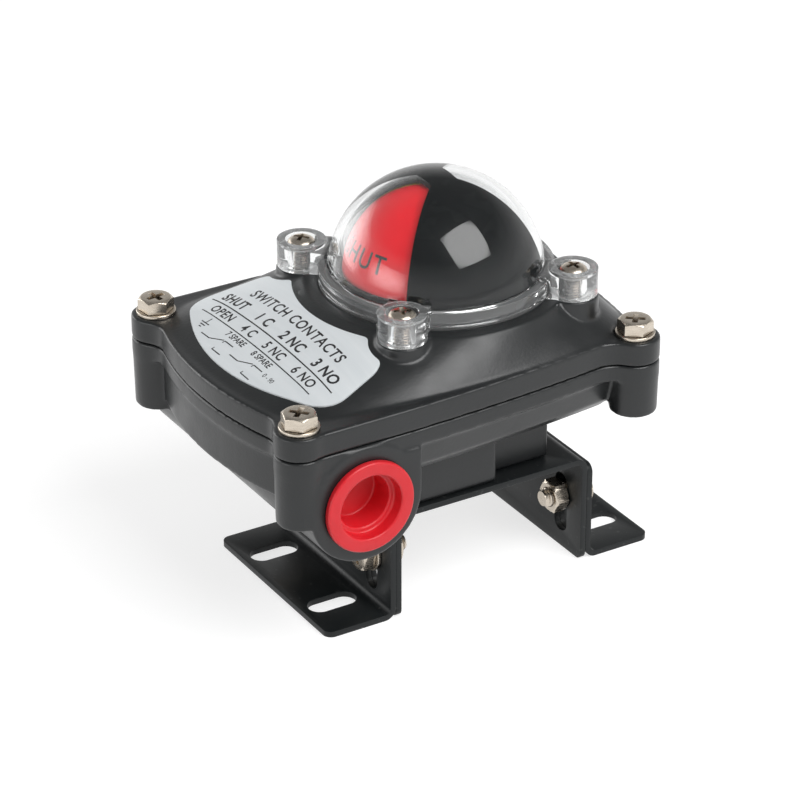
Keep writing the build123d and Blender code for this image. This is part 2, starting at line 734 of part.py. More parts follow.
# ---------------------------------------------------------------- cover
roof_outer = roof_solid(rim_z - 0.5, seat_z, roof_inset, roof_corner_r, crown_r)
roof_inner = roof_solid(parting_z - 0.5, seat_z - roof_wall, cavity_inset, cavity_corner_r,
                        crown_r - roof_wall)
with BuildPart() as cover:
    with BuildSketch(Plane.XY.offset(parting_z)):
        add(box_plan.sketch_local)
    extrude(amount=cover_flange)
    add(roof_outer)
    with BuildSketch(Plane.XY.offset(rim_z)):
        with Locations(*lug_points):
            Circle(lug_r + lug_boss_margin)
    extrude(amount=seat_z - rim_z)
    # spot faces for the cover bolts
    with BuildSketch(Plane.XY.offset(rim_z)):
        with Locations(*bolt_points):
            Circle(m5_washer_r + 0.5)
    extrude(amount=seat_z - rim_z, mode=Mode.SUBTRACT)
    add(roof_inner, mode=Mode.SUBTRACT)
    # bearing hub and the pillars for the dome screws
    with BuildSketch(Plane.XY.offset(seat_z - roof_wall / 2)):
        Circle(upper_bush_r + wall)
    extrude(amount=-(upper_bush_length - roof_wall / 2))
    with BuildSketch(Plane.XY.offset(seat_z - roof_wall / 2)):
        with Locations(*lug_points):
            Circle(pillar_r)
    extrude(amount=-(dome_thread_depth + 1.5 - roof_wall / 2))
    # holes
    with BuildSketch(Plane.XY.offset(seat_z)):
        Circle(upper_bush_r)
    extrude(amount=-2 * upper_bush_length, mode=Mode.SUBTRACT)
    with BuildSketch(Plane.XY.offset(seat_z)):
        with Locations(*lug_points):
            Circle(m4_r + thread_gap)
    extrude(amount=-dome_thread_depth, mode=Mode.SUBTRACT)
    with BuildSketch(Plane.XY.offset(parting_z)):
        with Locations(*bolt_points):
            Circle(m5_r + hole_gap)
    extrude(amount=cover_flange, mode=Mode.SUBTRACT)
    with BuildSketch(Plane.XY.offset(seat_z)):
        Circle(seal_r + seal_width / 2)
        Circle(seal_r - seal_width / 2, mode=Mode.SUBTRACT)
    extrude(amount=-seal_depth, mode=Mode.SUBTRACT)
cover.part.label = "cover"
export_step(cover.part, "parts/cover.step")

with BuildPart() as dome_seal:
    with BuildSketch(Plane.XY.offset(seat_z - seal_depth)):
        Circle(seal_r + seal_width / 2 - fit_gap)
        Circle(seal_r - seal_width / 2 + fit_gap, mode=Mode.SUBTRACT)
    extrude(amount=seal_depth)
dome_seal.part.label = "dome_seal"
export_step(dome_seal.part, "parts/dome_seal.step")

cover_bolt = hex_head_screw(m5_r, cover_bolt_length, m5_head_af, m5_head, m5_washer)
with BuildPart() as cover_bolts:
    with Locations(*[(x, y, rim_z) for x, y in bolt_points]):
        add(cover_bolt)
cover_bolts.part.label = "cover_bolts"
export_step(cover_bolts.part, "parts/cover_bolts.step")

with BuildPart() as cover_washers:
    with Locations(*[(x, y, rim_z) for x, y in bolt_points]):
        add(m5_washer_part)
cover_washers.part.label = "cover_washers"
export_step(cover_washers.part, "parts/cover_washers.step")

# Fan-shaped label on the long slope, notched round the two lugs
roof_lifted = roof_solid(rim_z - 0.5 + label_thickness, seat_z + label_thickness, roof_inset,
                         roof_corner_r, crown_r)
with BuildPart() as label_plate:
    with BuildSketch(Plane.XY.offset(rim_z)):
        Circle(label_outer_r)
        with BuildLine():
            Polyline((-label_outer_r, -label_half_y), (label_side_x, -label_half_y),
                     (-label_inner_x, -label_tip_y), (-label_inner_x, label_tip_y),
                     (label_side_x, label_half_y), (-label_outer_r, label_half_y), close=True)
        make_face(mode=Mode.INTERSECT)
        offset(amount=-label_end_r, kind=Kind.INTERSECTION)
        offset(amount=label_end_r, kind=Kind.ARC)
        Circle(label_inner_r, mode=Mode.SUBTRACT)
        with Locations(*[point for point in lug_points if point[0] < 0]):
            Circle(label_notch_r, mode=Mode.SUBTRACT)
        offset(amount=-label_corner_r, kind=Kind.INTERSECTION)
        offset(amount=label_corner_r, kind=Kind.ARC)
    extrude(amount=seat_z - rim_z + 1.0)
    add(roof_lifted, mode=Mode.INTERSECT)
    add(roof_outer, mode=Mode.SUBTRACT)
label_plate.part.label = "label_plate"
export_step(label_plate.part, "parts/label_plate.step")


# ---------------------------------------------------------------- clear dome
with BuildPart() as clear_dome:
    with Locations((0, 0, dome_centre_z)):
        Sphere(dome_r)
    split(bisect_by=Plane.XY.offset(dome_centre_z), keep=Keep.TOP)
    with BuildSketch(Plane.XY.offset(seat_z)):
        Circle(dome_ring_r)
    extrude(amount=dome_ring)
    with BuildSketch(Plane.XY.offset(seat_z)):
        with Locations(*lug_points):
            Circle(lug_r)
    extrude(amount=lug)
    with BuildSketch(Plane.XY.offset(seat_z)):
        for turn in (lug_angle, -lug_angle, 180 - lug_angle, 180 + lug_angle):
            with Locations(Location((0, 0, 0), (0, 0, turn))):
                with Locations((lug_reach, 0)):
                    Rectangle(lug_reach - dome_r + dome_wall, lug_tab_width, align=(Align.MAX, Align.CENTER))
    extrude(amount=lug_tab)
    with Locations((0, 0, dome_centre_z)):
        Sphere(dome_r - dome_wall, mode=Mode.SUBTRACT)
    with BuildSketch(Plane.XY.offset(seat_z)):
        Circle(dome_r - dome_wall)
    extrude(amount=dome_centre_z - seat_z, mode=Mode.SUBTRACT)
    with BuildSketch(Plane.XY.offset(seat_z)):
        with Locations(*lug_points):
            Circle(m4_r + hole_gap)
    extrude(amount=lug, mode=Mode.SUBTRACT)
    with BuildSketch(Plane.XY.offset(seat_z + lug)):
        with Locations(*lug_points):
            Circle(m4_head_r + 0.5)
    extrude(amount=-head_sink, mode=Mode.SUBTRACT)
clear_dome.part.label = "clear_dome"
export_step(clear_dome.part, "parts/clear_dome.step")

dome_screw = pan_screw(m4_r, lug - head_sink + dome_thread_depth - 1.0, m4_head_r, m4_head)
with BuildPart() as dome_screws:
    with Locations(*[(x, y, seat_z + lug - head_sink) for x, y in lug_points]):
        add(dome_screw)
dome_screws.part.label = "dome_screws"
export_step(dome_screws.part, "parts/dome_screws.step")

# Black mask with two windows, one over each end of the box
with BuildPart() as indicator_mask:
    with Locations((0, 0, dome_centre_z)):
        Sphere(mask_r)
    split(bisect_by=Plane.XY.offset(dome_centre_z), keep=Keep.TOP)
    with BuildSketch(Plane.XY.offset(seat_z)):
        Circle(mask_r)
    extrude(amount=dome_centre_z - seat_z)
    with Locations((0, 0, dome_centre_z)):
        Sphere(mask_r - mask_wall, mode=Mode.SUBTRACT)
    with BuildSketch(Plane.XY.offset(seat_z)):
        Circle(mask_r - mask_wall)
    extrude(amount=dome_centre_z - seat_z, mode=Mode.SUBTRACT)
    with BuildSketch(Plane.XY.offset(mask_band_z)):
        for side in (-1, 1):
            with BuildLine():
                slope = tan(radians(window_half_angle))
                Polyline((side * window_apex, -window_apex * slope), (side * window_apex, window_apex * slope),
                         (side * dome_r, dome_r * slope), (side * dome_r, -dome_r * slope), close=True)
            make_face()
    extrude(amount=dome_r, mode=Mode.SUBTRACT)
indicator_mask.part.label = "indicator_mask"
export_step(indicator_mask.part, "parts/indicator_mask.step")


# ---------------------------------------------------------------- indicator drum
def drum_shell(half_turn_axis, low_z):
    """Two opposite quadrants of the drum's domed skin; the axis is "x" or "y"."""
    with BuildPart() as shell:
        with Locations((0, 0, dome_centre_z)):
            Sphere(drum_r)
            Sphere(drum_r - drum_wall, mode=Mode.SUBTRACT)
        with BuildSketch(Plane.XY.offset(low_z)):
            reach = drum_r * 1.5
            for side in (-1, 1):
                with BuildLine():
                    if half_turn_axis == "x":
                        Polyline((side * sector_gap, 0), (side * (sector_gap + reach), reach),
                                 (side * (sector_gap + reach), -reach), close=True)
                    else:
                        Polyline((0, side * sector_gap), (reach, side * (sector_gap + reach)),
                                 (-reach, side * (sector_gap + reach)), close=True)
                make_face()
            Circle(drum_eye_r, mode=Mode.SUBTRACT)
        extrude(amount=dome_r, mode=Mode.INTERSECT)
    return shell.part


yellow_quadrants = drum_shell("y", drum_z + drum_floor - 0.3)
with BuildPart() as indicator_drum:
    with BuildSketch(Plane.XY.offset(drum_z)):
        Circle(drum_r - 0.2)
    extrude(amount=drum_floor)
    add(yellow_quadrants)
    with BuildSketch(Plane.XY.offset(drum_z)):
        Circle(drum_hub_r)
    extrude(amount=spindle_top_z - drum_z)
    with BuildSketch(Plane.XY.offset(drum_z)):
        Circle(spindle_r + fit_gap)
    extrude(amount=spindle_top_z - drum_z, mode=Mode.SUBTRACT)
indicator_drum.part.label = "indicator_drum"
export_step(indicator_drum.part, "parts/indicator_drum.step")

red_quadrants = drum_shell("x", drum_z + drum_floor)
with BuildPart() as indicator_red_panels:
    add(red_quadrants)
indicator_red_panels.part.label = "indicator_red_panels"
export_step(indicator_red_panels.part, "parts/indicator_red_panels.step")

drum_screw_part = pan_screw(m3_r, drum_screw_depth - 0.5, drum_hub_r - 0.6, m3_head)
with BuildPart() as drum_screw:
    with Locations((0, 0, spindle_top_z)):
        add(drum_screw_part)
drum_screw.part.label = "drum_screw"
export_step(drum_screw.part, "parts/drum_screw.step")


# ---------------------------------------------------------------- bearings, conduit plug
with BuildPart() as lower_bush:
    with BuildSketch(Plane.XY.offset(mounting_height)):
        Circle(lower_bush_r)
    extrude(amount=bush_high - mounting_height)
    with BuildSketch(Plane.XY.offset(bush_high)):
        Circle(bush_flange_r)
    extrude(amount=bush_flange)
    with BuildSketch(Plane.XY.offset(mounting_height)):
        Circle(journal_r + running)
    extrude(amount=bush_high, mode=Mode.SUBTRACT)
lower_bush.part.label = "lower_bush"
export_step(lower_bush.part, "parts/lower_bush.step")

with BuildPart() as upper_bush:
    with BuildSketch(Plane.XY.offset(seat_z)):
        Circle(upper_bush_r)
    extrude(amount=-upper_bush_length)
    with BuildSketch(Plane.XY.offset(seat_z)):
        Circle(bush_flange_r)
    extrude(amount=bush_flange)
    with BuildSketch(Plane.XY.offset(seat_z + bush_flange)):
        Circle(shaft_r + running)
    extrude(amount=-2 * upper_bush_length, mode=Mode.SUBTRACT)
upper_bush.part.label = "upper_bush"
export_step(upper_bush.part, "parts/upper_bush.step")

with BuildPart() as conduit_plug:
    with BuildSketch(Plane.XZ.offset(conduit_face_y)):
        with Locations((conduit_x, conduit_z)):
            Circle(plug_flange_r)
    extrude(amount=plug_flange)
    fillet(conduit_plug.edges().group_by(Axis.Y)[0], plug_flange * 0.3)
    with BuildSketch(Plane.XZ.offset(conduit_face_y)):
        with Locations((conduit_x, conduit_z)):
            Circle(conduit_r - thread_gap)
    extrude(amount=-plug_length)
    with BuildSketch(Plane.XZ.offset(conduit_face_y + plug_flange)):
        with Locations((conduit_x, conduit_z)):
            Circle(conduit_r - plug_wall)
    extrude(amount=-(plug_flange + plug_step), mode=Mode.SUBTRACT)
    with BuildSketch(Plane.XZ.offset(conduit_face_y - plug_step)):
        with Locations((conduit_x, conduit_z)):
            Circle(conduit_r - 2 * plug_wall)
    extrude(amount=-(plug_length - plug_step - plug_wall), mode=Mode.SUBTRACT)
conduit_plug.part.label = "conduit_plug"
export_step(conduit_plug.part, "parts/conduit_plug.step")


# ---------------------------------------------------------------- shaft
with BuildPart() as shaft:
    with BuildSketch(Plane.XY.offset(tang_z)):
        Circle(shaft_r)
    extrude(amount=spindle_base_z - tang_z)
    with BuildSketch(Plane.XY.offset(journal_low_z)):
        Circle(journal_r)
    extrude(amount=collar_z - journal_low_z)
    with BuildSketch(Plane.XY.offset(collar_z)):
        Circle(collar_r)
    extrude(amount=collar)
    with BuildSketch(Plane.XY.offset(spindle_base_z)):
        Circle(spindle_r)
    extrude(amount=spindle_top_z - spindle_base_z - 0.3)
    with BuildSketch(Plane.XY.offset(tang_z)):
        with Locations((tang_thickness / 2, 0)):
            Rectangle(shaft_r, 2 * shaft_r, align=(Align.MIN, Align.CENTER))
        with Locations((-tang_thickness / 2, 0)):
            Rectangle(shaft_r, 2 * shaft_r, align=(Align.MAX, Align.CENTER))
    extrude(amount=tang_length, mode=Mode.SUBTRACT)
    for groove_z, surface_r in ((lower_seal_z, journal_r), (upper_seal_z, shaft_r)):
        with BuildSketch(Plane.XY.offset(groove_z - oring_r)):
            Circle(collar_r + 1.0)
            Circle(surface_r - seal_groove, mode=Mode.SUBTRACT)
        extrude(amount=2 * oring_r, mode=Mode.SUBTRACT)
    with BuildSketch(Plane.XY.offset(shaft_clip_z)):
        Circle(collar_r + 1.0)
        Circle(journal_r - clip_depth, mode=Mode.SUBTRACT)
    extrude(amount=shaft_clip + clip_gap, mode=Mode.SUBTRACT)
    with BuildSketch(Plane.YZ.offset(-shaft_r)):
        with Locations((0, sleeve_pin_z)):
            Circle(sleeve_pin_r)
    extrude(amount=2 * shaft_r, mode=Mode.SUBTRACT)
    with BuildSketch(Plane.XY.offset(spindle_top_z)):
        Circle(m3_r + thread_gap)
    extrude(amount=-drum_screw_depth, mode=Mode.SUBTRACT)
shaft.part.label = "shaft"
export_step(shaft.part, "parts/shaft.step")

for seal_name, groove_z, surface_r in (("lower_shaft_seal", lower_seal_z, journal_r),
                                       ("upper_shaft_seal", upper_seal_z, shaft_r)):
    with BuildPart() as shaft_oring:
        with BuildSketch(Plane.XZ):
            with Locations((surface_r - seal_groove + oring_r, groove_z)):
                Circle(oring_r - 0.02)
        revolve(axis=Axis.Z)
    shaft_oring.part.label = seal_name
    export_step(shaft_oring.part, f"parts/{seal_name}.step")

with BuildPart() as shaft_circlip:
    with BuildSketch(Plane.XY.offset(shaft_clip_z + clip_gap / 2)):
        Circle(shaft_clip_r)
        Circle(journal_r - clip_depth + fit_gap, mode=Mode.SUBTRACT)
        Rectangle(2 * shaft_clip_r, 4.0, align=(Align.MIN, Align.CENTER), mode=Mode.SUBTRACT)
    extrude(amount=shaft_clip)
shaft_circlip.part.label = "shaft_circlip"
export_step(shaft_circlip.part, "parts/shaft_circlip.step")

with BuildPart() as cam_sleeve:
    with BuildSketch(Plane.XY.offset(sleeve_z)):
        Circle(sleeve_flange_r)
    extrude(amount=sleeve_floor)
    with BuildSketch(Plane.XY.offset(sleeve_z)):
        Circle(sleeve_r)
    extrude(amount=sleeve_top_z - sleeve_z)
    with BuildSketch(Plane.XY.offset(sleeve_z)):
        with PolarLocations(sleeve_r, spline_count):
            Rectangle(2 * spline_depth, spline_depth)
    extrude(amount=cam_clip_z - sleeve_z)
    with BuildSketch(Plane.XY.offset(sleeve_z)):
        Circle(shaft_r + fit_gap)
    extrude(amount=sleeve_top_z - sleeve_z, mode=Mode.SUBTRACT)
    with BuildSketch(Plane.YZ.offset(-sleeve_flange_r)):
        with Locations((0, sleeve_pin_z)):
            Circle(sleeve_pin_r)
    extrude(amount=2 * sleeve_flange_r, mode=Mode.SUBTRACT)
    with BuildSketch(Plane.XY.offset(cam_clip_z)):
        Circle(cam_clip_r)
        Circle(sleeve_r - clip_depth, mode=Mode.SUBTRACT)
    extrude(amount=cam_clip + clip_gap, mode=Mode.SUBTRACT)
cam_sleeve.part.label = "cam_sleeve"
export_step(cam_sleeve.part, "parts/cam_sleeve.step")

with BuildPart() as sleeve_pin:
    with BuildSketch(Plane.YZ.offset(-sleeve_r)):
        with Locations((0, sleeve_pin_z)):
            Circle(sleeve_pin_r - 0.01)
    extrude(amount=2 * sleeve_r)
sleeve_pin.part.label = "sleeve_pin"
export_step(sleeve_pin.part, "parts/sleeve_pin.step")

with BuildPart() as cam_circlip:
    with BuildSketch(Plane.XY.offset(cam_clip_z + clip_gap / 2)):
        Circle(cam_clip_r)
        Circle(sleeve_r - clip_depth + fit_gap, mode=Mode.SUBTRACT)
        Rectangle(2 * cam_clip_r, 4.0, align=(Align.MIN, Align.CENTER), mode=Mode.SUBTRACT)
    extrude(amount=cam_clip)
cam_circlip.part.label = "cam_circlip"
export_step(cam_circlip.part, "parts/cam_circlip.step")


# ---------------------------------------------------------------- cams
def cam_radius(sweep, rising):
    """Cam radius at an angle before the roller; the ramp covers the shaft's turn."""
    share = min(max(sweep / turn_deg, 0.0), 1.0)
    angle = radians(press_angle) * (share if rising else 1.0 - share)
    x = lever_pivot_x + arm * sin(arm_angle - angle)
    y = lever_pivot_y - arm * cos(arm_angle - angle)
    return hypot(x, y) - roller_r - cam_gap


def cam_outline(rising):
    """Closed outline: the working ramp, short dwells, and a smooth way back."""
    first, last = -dwell_deg, turn_deg + dwell_deg
    points = []
    steps = 40
    for step in range(steps):
        sweep = first + step * 360.0 / steps
        if sweep <= last:
            radius = cam_radius(sweep, rising)
        else:
            back = (sweep - last) / (360.0 + first - last)
            blend = (1 - cos(pi * back)) / 2
            radius = cam_radius(last, rising) * (1 - blend) + cam_radius(first, rising) * blend
        points.append(arc_radius_point(radius, 180.0 - sweep))
    return points


for cam_name, centre_z, rising in (("upper_cam", cam_centre_upper, True),
                                   ("lower_cam", cam_centre_lower, False)):
    with BuildPart() as cam:
        with BuildSketch(Plane.XY.offset(centre_z - cam_thickness / 2)):
            with BuildLine():
                Spline(*cam_outline(rising), periodic=True)
            make_face()
            Circle(sleeve_r + cam_bore_gap, mode=Mode.SUBTRACT)
            with PolarLocations(sleeve_r, spline_count):
                Rectangle(2 * (spline_depth + cam_bore_gap), spline_depth + 2 * cam_bore_gap,
                          mode=Mode.SUBTRACT)
        extrude(amount=cam_thickness)
    cam.part.label = cam_name
    export_step(cam.part, f"parts/{cam_name}.step")

with BuildPart() as cam_spring:
    with BuildLine():
        spring_path = Helix(pitch=(spring_height - 2 * spring_wire_r) / spring_turns,
                            height=spring_height - 2 * spring_wire_r, radius=spring_r,
                            center=(0, 0, spring_z + spring_wire_r))
    with BuildSketch(Plane(origin=spring_path @ 0, z_dir=spring_path % 0)):
        Circle(spring_wire_r)
    sweep(is_frenet=True)
cam_spring.part.label = "cam_spring"
export_step(cam_spring.part, "parts/cam_spring.step")


# ---------------------------------------------------------------- switches
switch_hole_points = [(switch_face_x - switch_hole_front, lever_pivot_y - switch_hole_far),
                      (switch_face_x - switch_hole_back, lever_pivot_y - switch_hole_near)]
with BuildPart() as switch_plate:
    with BuildSketch(Plane.XY.offset(switch_plate_z)):
        with Locations((switch_back_x, 0)):
            Rectangle(switch_plate_east - switch_back_x, 2 * (well_half_y - 0.4),
                      align=(Align.MIN, Align.CENTER))
        Circle(lower_bush_r + wall + 0.4, mode=Mode.SUBTRACT)
        with Locations(*plate_screw_points):
            Circle(m3_r + hole_gap, mode=Mode.SUBTRACT)
        with Locations(*switch_hole_points):
            Circle(m3_r + thread_gap, mode=Mode.SUBTRACT)
    extrude(amount=sheet)
switch_plate.part.label = "switch_plate"
export_step(switch_plate.part, "parts/switch_plate.step")

plate_screw = pan_screw(m3_r, sheet + plate_screw_depth - 0.6, m3_head_r, m3_head)
with BuildPart() as plate_screws:
    with Locations(*[(x, y, lower_switch_z) for x, y in plate_screw_points]):
        add(plate_screw)
plate_screws.part.label = "plate_screws"
export_step(plate_screws.part, "parts/plate_screws.step")

for switch_name, low_z in (("lower_switch", lower_switch_z), ("upper_switch", upper_switch_z)):
    middle_z = low_z + switch_height / 2
    with BuildPart() as switch_case:
        with BuildSketch(Plane.XY.offset(low_z)):
            with Locations((switch_face_x, switch_near_y)):
                Rectangle(switch_depth, switch_length, align=(Align.MAX, Align.MAX))
        extrude(amount=switch_height)
        fillet(switch_case.edges().filter_by(Axis.Z), 1.0)
        # ears that hold the lever's pivot pin
        with BuildSketch(Plane.XY.offset(middle_z - lever_width / 2 - 1.2)):
            with Locations((lever_pivot_x, lever_pivot_y)):
                Circle(lever_eye_r + 0.5)
                Rectangle(lever_pivot_x - switch_face_x + 1.0, 2 * (lever_eye_r + 0.5),
                          align=(Align.MAX, Align.CENTER))
        extrude(amount=lever_width + 2 * pin_overhang)
        with BuildSketch(Plane.XY.offset(middle_z - lever_width / 2 - roller_side_gap)):
            with Locations((switch_face_x, lever_pivot_y)):
                Rectangle(4 * lever_eye_r, 6 * lever_eye_r, align=(Align.MIN, Align.CENTER))
        extrude(amount=lever_width + 2 * roller_side_gap, mode=Mode.SUBTRACT)
        with BuildSketch(Plane.XY.offset(low_z)):
            with Locations((lever_pivot_x, lever_pivot_y)):
                Circle(lever_pin_r + 0.01)
            with Locations(*switch_hole_points):
                Circle(m3_r + hole_gap)
        extrude(amount=switch_height, mode=Mode.SUBTRACT)
        with BuildSketch(Plane.YZ.offset(switch_face_x)):
            with Locations((plunger_y, middle_z)):
                Circle(plunger_r + running)
        extrude(amount=-(plunger_stub + plunger_travel + 0.4), mode=Mode.SUBTRACT)
    switch_case.part.label = switch_name
    export_step(switch_case.part, f"parts/{switch_name}.step")

with BuildPart() as switch_card:
    with BuildSketch(Plane.XY.offset(lower_switch_z + switch_height)):
        with Locations((switch_face_x, switch_near_y)):
            Rectangle(switch_depth, switch_length, align=(Align.MAX, Align.MAX))
        with Locations(*switch_hole_points):
            Circle(m3_r + hole_gap, mode=Mode.SUBTRACT)
    extrude(amount=switch_gap)
switch_card.part.label = "switch_card"
export_step(switch_card.part, "parts/switch_card.step")

switch_screw = pan_screw(m3_r, 2 * switch_height + switch_gap + sheet, m3_head_r, m3_head)
with BuildPart() as switch_screws:
    with Locations(*[(x, y, upper_switch_z + switch_height) for x, y in switch_hole_points]):
        add(switch_screw)
switch_screws.part.label = "switch_screws"
export_step(switch_screws.part, "parts/switch_screws.step")

with BuildPart() as switch_tabs:
    for centre_z in (cam_centre_lower, cam_centre_upper):
        with BuildSketch(Plane.XY.offset(centre_z - tab_sheet / 2)):
            with Locations(*[(switch_back_x, y) for y in tab_rows]):
                Rectangle(tab_length, tab_width, align=(Align.MAX, Align.CENTER))
            with Locations(*[(switch_back_x - tab_length + 1.8, y) for y in tab_rows]):
                Circle(0.8, mode=Mode.SUBTRACT)
        extrude(amount=tab_sheet)
switch_tabs.part.label = "switch_tabs"
export_step(switch_tabs.part, "parts/switch_tabs.step")

with BuildPart() as lever_pins:
    for centre_z in (cam_centre_lower, cam_centre_upper):
        with BuildSketch(Plane.XY.offset(centre_z - lever_width / 2 - pin_overhang)):
            with Locations((lever_pivot_x, lever_pivot_y)):
                Circle(lever_pin_r)
        extrude(amount=lever_width + 2 * pin_overhang)
lever_pins.part.label = "lever_pins"
export_step(lever_pins.part, "parts/lever_pins.step")

# Levers, rollers and plungers: the upper one stands released, the lower one pressed
for side_name, centre_z, turned in (("upper", cam_centre_upper, 0.0),
                                    ("lower", cam_centre_lower, press_angle)):
    lever_angle = arm_angle - radians(turned)
    tip = (lever_pivot_x + arm * sin(lever_angle), lever_pivot_y - arm * cos(lever_angle))
    lean = degrees(lever_angle) - 90.0
    with BuildPart() as lever:
        with BuildSketch(Plane.XY.offset(centre_z - lever_width / 2)):
            with BuildLine():
                Line((lever_pivot_x, lever_pivot_y),
                     (lever_pivot_x + (arm - roller_r - 0.8) * sin(lever_angle),
                      lever_pivot_y - (arm - roller_r - 0.8) * cos(lever_angle)))
            trace(line_width=lever_sheet)
            with Locations((lever_pivot_x, lever_pivot_y)):
                Circle(lever_eye_r)
        extrude(amount=lever_width)
        for ear_z in (centre_z - lever_width / 2, centre_z + lever_width / 2 - lever_ear):
            with BuildSketch(Plane.XY.offset(ear_z)):
                with Locations(tip):
                    SlotCenterPoint((-(roller_r + 0.9) / 2 * sin(lever_angle) * 1.2,
                                     (roller_r + 0.9) / 2 * cos(lever_angle) * 1.2),
                                    (0, 0), 2 * lever_eye_r)
            extrude(amount=lever_ear)
        with BuildSketch(Plane.XY.offset(centre_z - lever_width / 2)):
            with Locations((lever_pivot_x, lever_pivot_y)):
                Circle(lever_pin_r + running)
            with Locations(tip):
                Circle(roller_pin_r)
        extrude(amount=lever_width, mode=Mode.SUBTRACT)
    lever.part.label = f"{side_name}_lever"
    export_step(lever.part, f"parts/{side_name}_lever.step")

    with BuildPart() as roller_pin:
        with BuildSketch(Plane.XY.offset(centre_z - lever_width / 2)):
            with Locations(tip):
                Circle(roller_pin_r - 0.005)
        extrude(amount=lever_width)
    roller_pin.part.label = f"{side_name}_roller_pin"
    export_step(roller_pin.part, f"parts/{side_name}_roller_pin.step")

    with BuildPart() as roller:
        with BuildSketch(Plane.XY.offset(centre_z - roller_height / 2)):
            with Locations(tip):
                Circle(roller_r)
                Circle(roller_pin_r + running, mode=Mode.SUBTRACT)
        extrude(amount=roller_height)
    roller.part.label = f"{side_name}_roller"
    export_step(roller.part, f"parts/{side_name}_roller.step")

    plunger_tip_x = plunger_line_x(lever_angle) - lever_sheet / 2 / cos(arm_angle) - plunger_gap
    with BuildPart() as plunger:
        with BuildSketch(Plane.YZ.offset(plunger_tip_x)):
            with Locations((plunger_y, centre_z)):
                Circle(plunger_r)
        extrude(amount=-(plunger_line_x(arm_angle) - switch_face_x + plunger_stub - 1.0))
        fillet(plunger.edges().group_by(Axis.X)[-1], plunger_r * 0.4)
    plunger.part.label = f"{side_name}_plunger"
    export_step(plunger.part, f"parts/{side_name}_plunger.step")


# ---------------------------------------------------------------- terminal strip
with BuildPart() as terminal_strip:
    with BuildSketch(Plane.XY.offset(strip_base_z)):
        with Locations((strip_x, 0)):
            Rectangle(strip_width, strip_length)
        with Locations(*strip_screw_points):
            Circle(m3_r + hole_gap, mode=Mode.SUBTRACT)
    extrude(amount=strip_base)
    with BuildSketch(Plane.XY.offset(strip_base_z + strip_base)):
        with Locations(*[(strip_x, (pole - pole_count / 2) * pole_pitch) for pole in range(pole_count + 1)]):
            Rectangle(strip_width, barrier_sheet)
    extrude(amount=barrier)
    with BuildSketch(Plane.XY.offset(strip_base_z + strip_base)):
        with Locations(*terminal_points):
            Circle(m3_r + thread_gap)
    extrude(amount=-strip_base + 1.0, mode=Mode.SUBTRACT)
terminal_strip.part.label = "terminal_strip"
export_step(terminal_strip.part, "parts/terminal_strip.step")

with BuildPart() as terminal_clamps:
    with BuildSketch(Plane.XY.offset(strip_base_z + strip_base)):
        with Locations(*[(strip_x, (pole + 0.5 - pole_count / 2) * pole_pitch) for pole in range(pole_count)]):
            Rectangle(clamp_length, clamp_width)
        with Locations(*terminal_points):
            Circle(m3_r + thread_gap, mode=Mode.SUBTRACT)
    extrude(amount=clamp_sheet)
terminal_clamps.part.label = "terminal_clamps"
export_step(terminal_clamps.part, "parts/terminal_clamps.step")

terminal_screw = pan_screw(m3_r, clamp_sheet + strip_base - 1.6, clamp_width / 2, m3_head)
with BuildPart() as terminal_screws:
    with Locations(*[(x, y, strip_base_z + strip_base + clamp_sheet) for x, y in terminal_points]):
        add(terminal_screw)
terminal_screws.part.label = "terminal_screws"
export_step(terminal_screws.part, "parts/terminal_screws.step")

strip_screw = pan_screw(m3_r, strip_base + strip_screw_depth - 1.0, m3_head_r, m3_head)
with BuildPart() as strip_screws:
    with Locations(*[(x, y, strip_base_z + strip_base) for x, y in strip_screw_points]):
        add(strip_screw)
strip_screws.part.label = "strip_screws"
export_step(strip_screws.part, "parts/strip_screws.step")
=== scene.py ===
import bpy
import bmesh
import math
from mathutils import Matrix, Vector
from mathutils.bvhtree import BVHTree


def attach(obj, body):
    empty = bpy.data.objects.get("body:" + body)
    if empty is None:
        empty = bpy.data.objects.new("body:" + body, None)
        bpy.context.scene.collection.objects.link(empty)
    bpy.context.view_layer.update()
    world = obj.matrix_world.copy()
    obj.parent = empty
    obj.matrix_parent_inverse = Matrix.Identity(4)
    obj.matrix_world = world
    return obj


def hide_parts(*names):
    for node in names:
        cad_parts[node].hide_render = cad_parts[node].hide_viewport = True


# Valve limit switch box on its mounting bracket, dressed for rendering.
# Metres; the shaft's axis is +Z through the origin, +X runs along the bracket.

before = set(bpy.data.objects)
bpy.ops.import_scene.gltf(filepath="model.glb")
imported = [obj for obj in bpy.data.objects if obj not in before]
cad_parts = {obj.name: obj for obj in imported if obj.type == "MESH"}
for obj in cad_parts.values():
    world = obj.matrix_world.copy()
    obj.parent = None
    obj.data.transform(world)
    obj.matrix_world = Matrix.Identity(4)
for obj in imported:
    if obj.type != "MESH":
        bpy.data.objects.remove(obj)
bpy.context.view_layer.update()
MM = 0.001
scene = bpy.context.scene


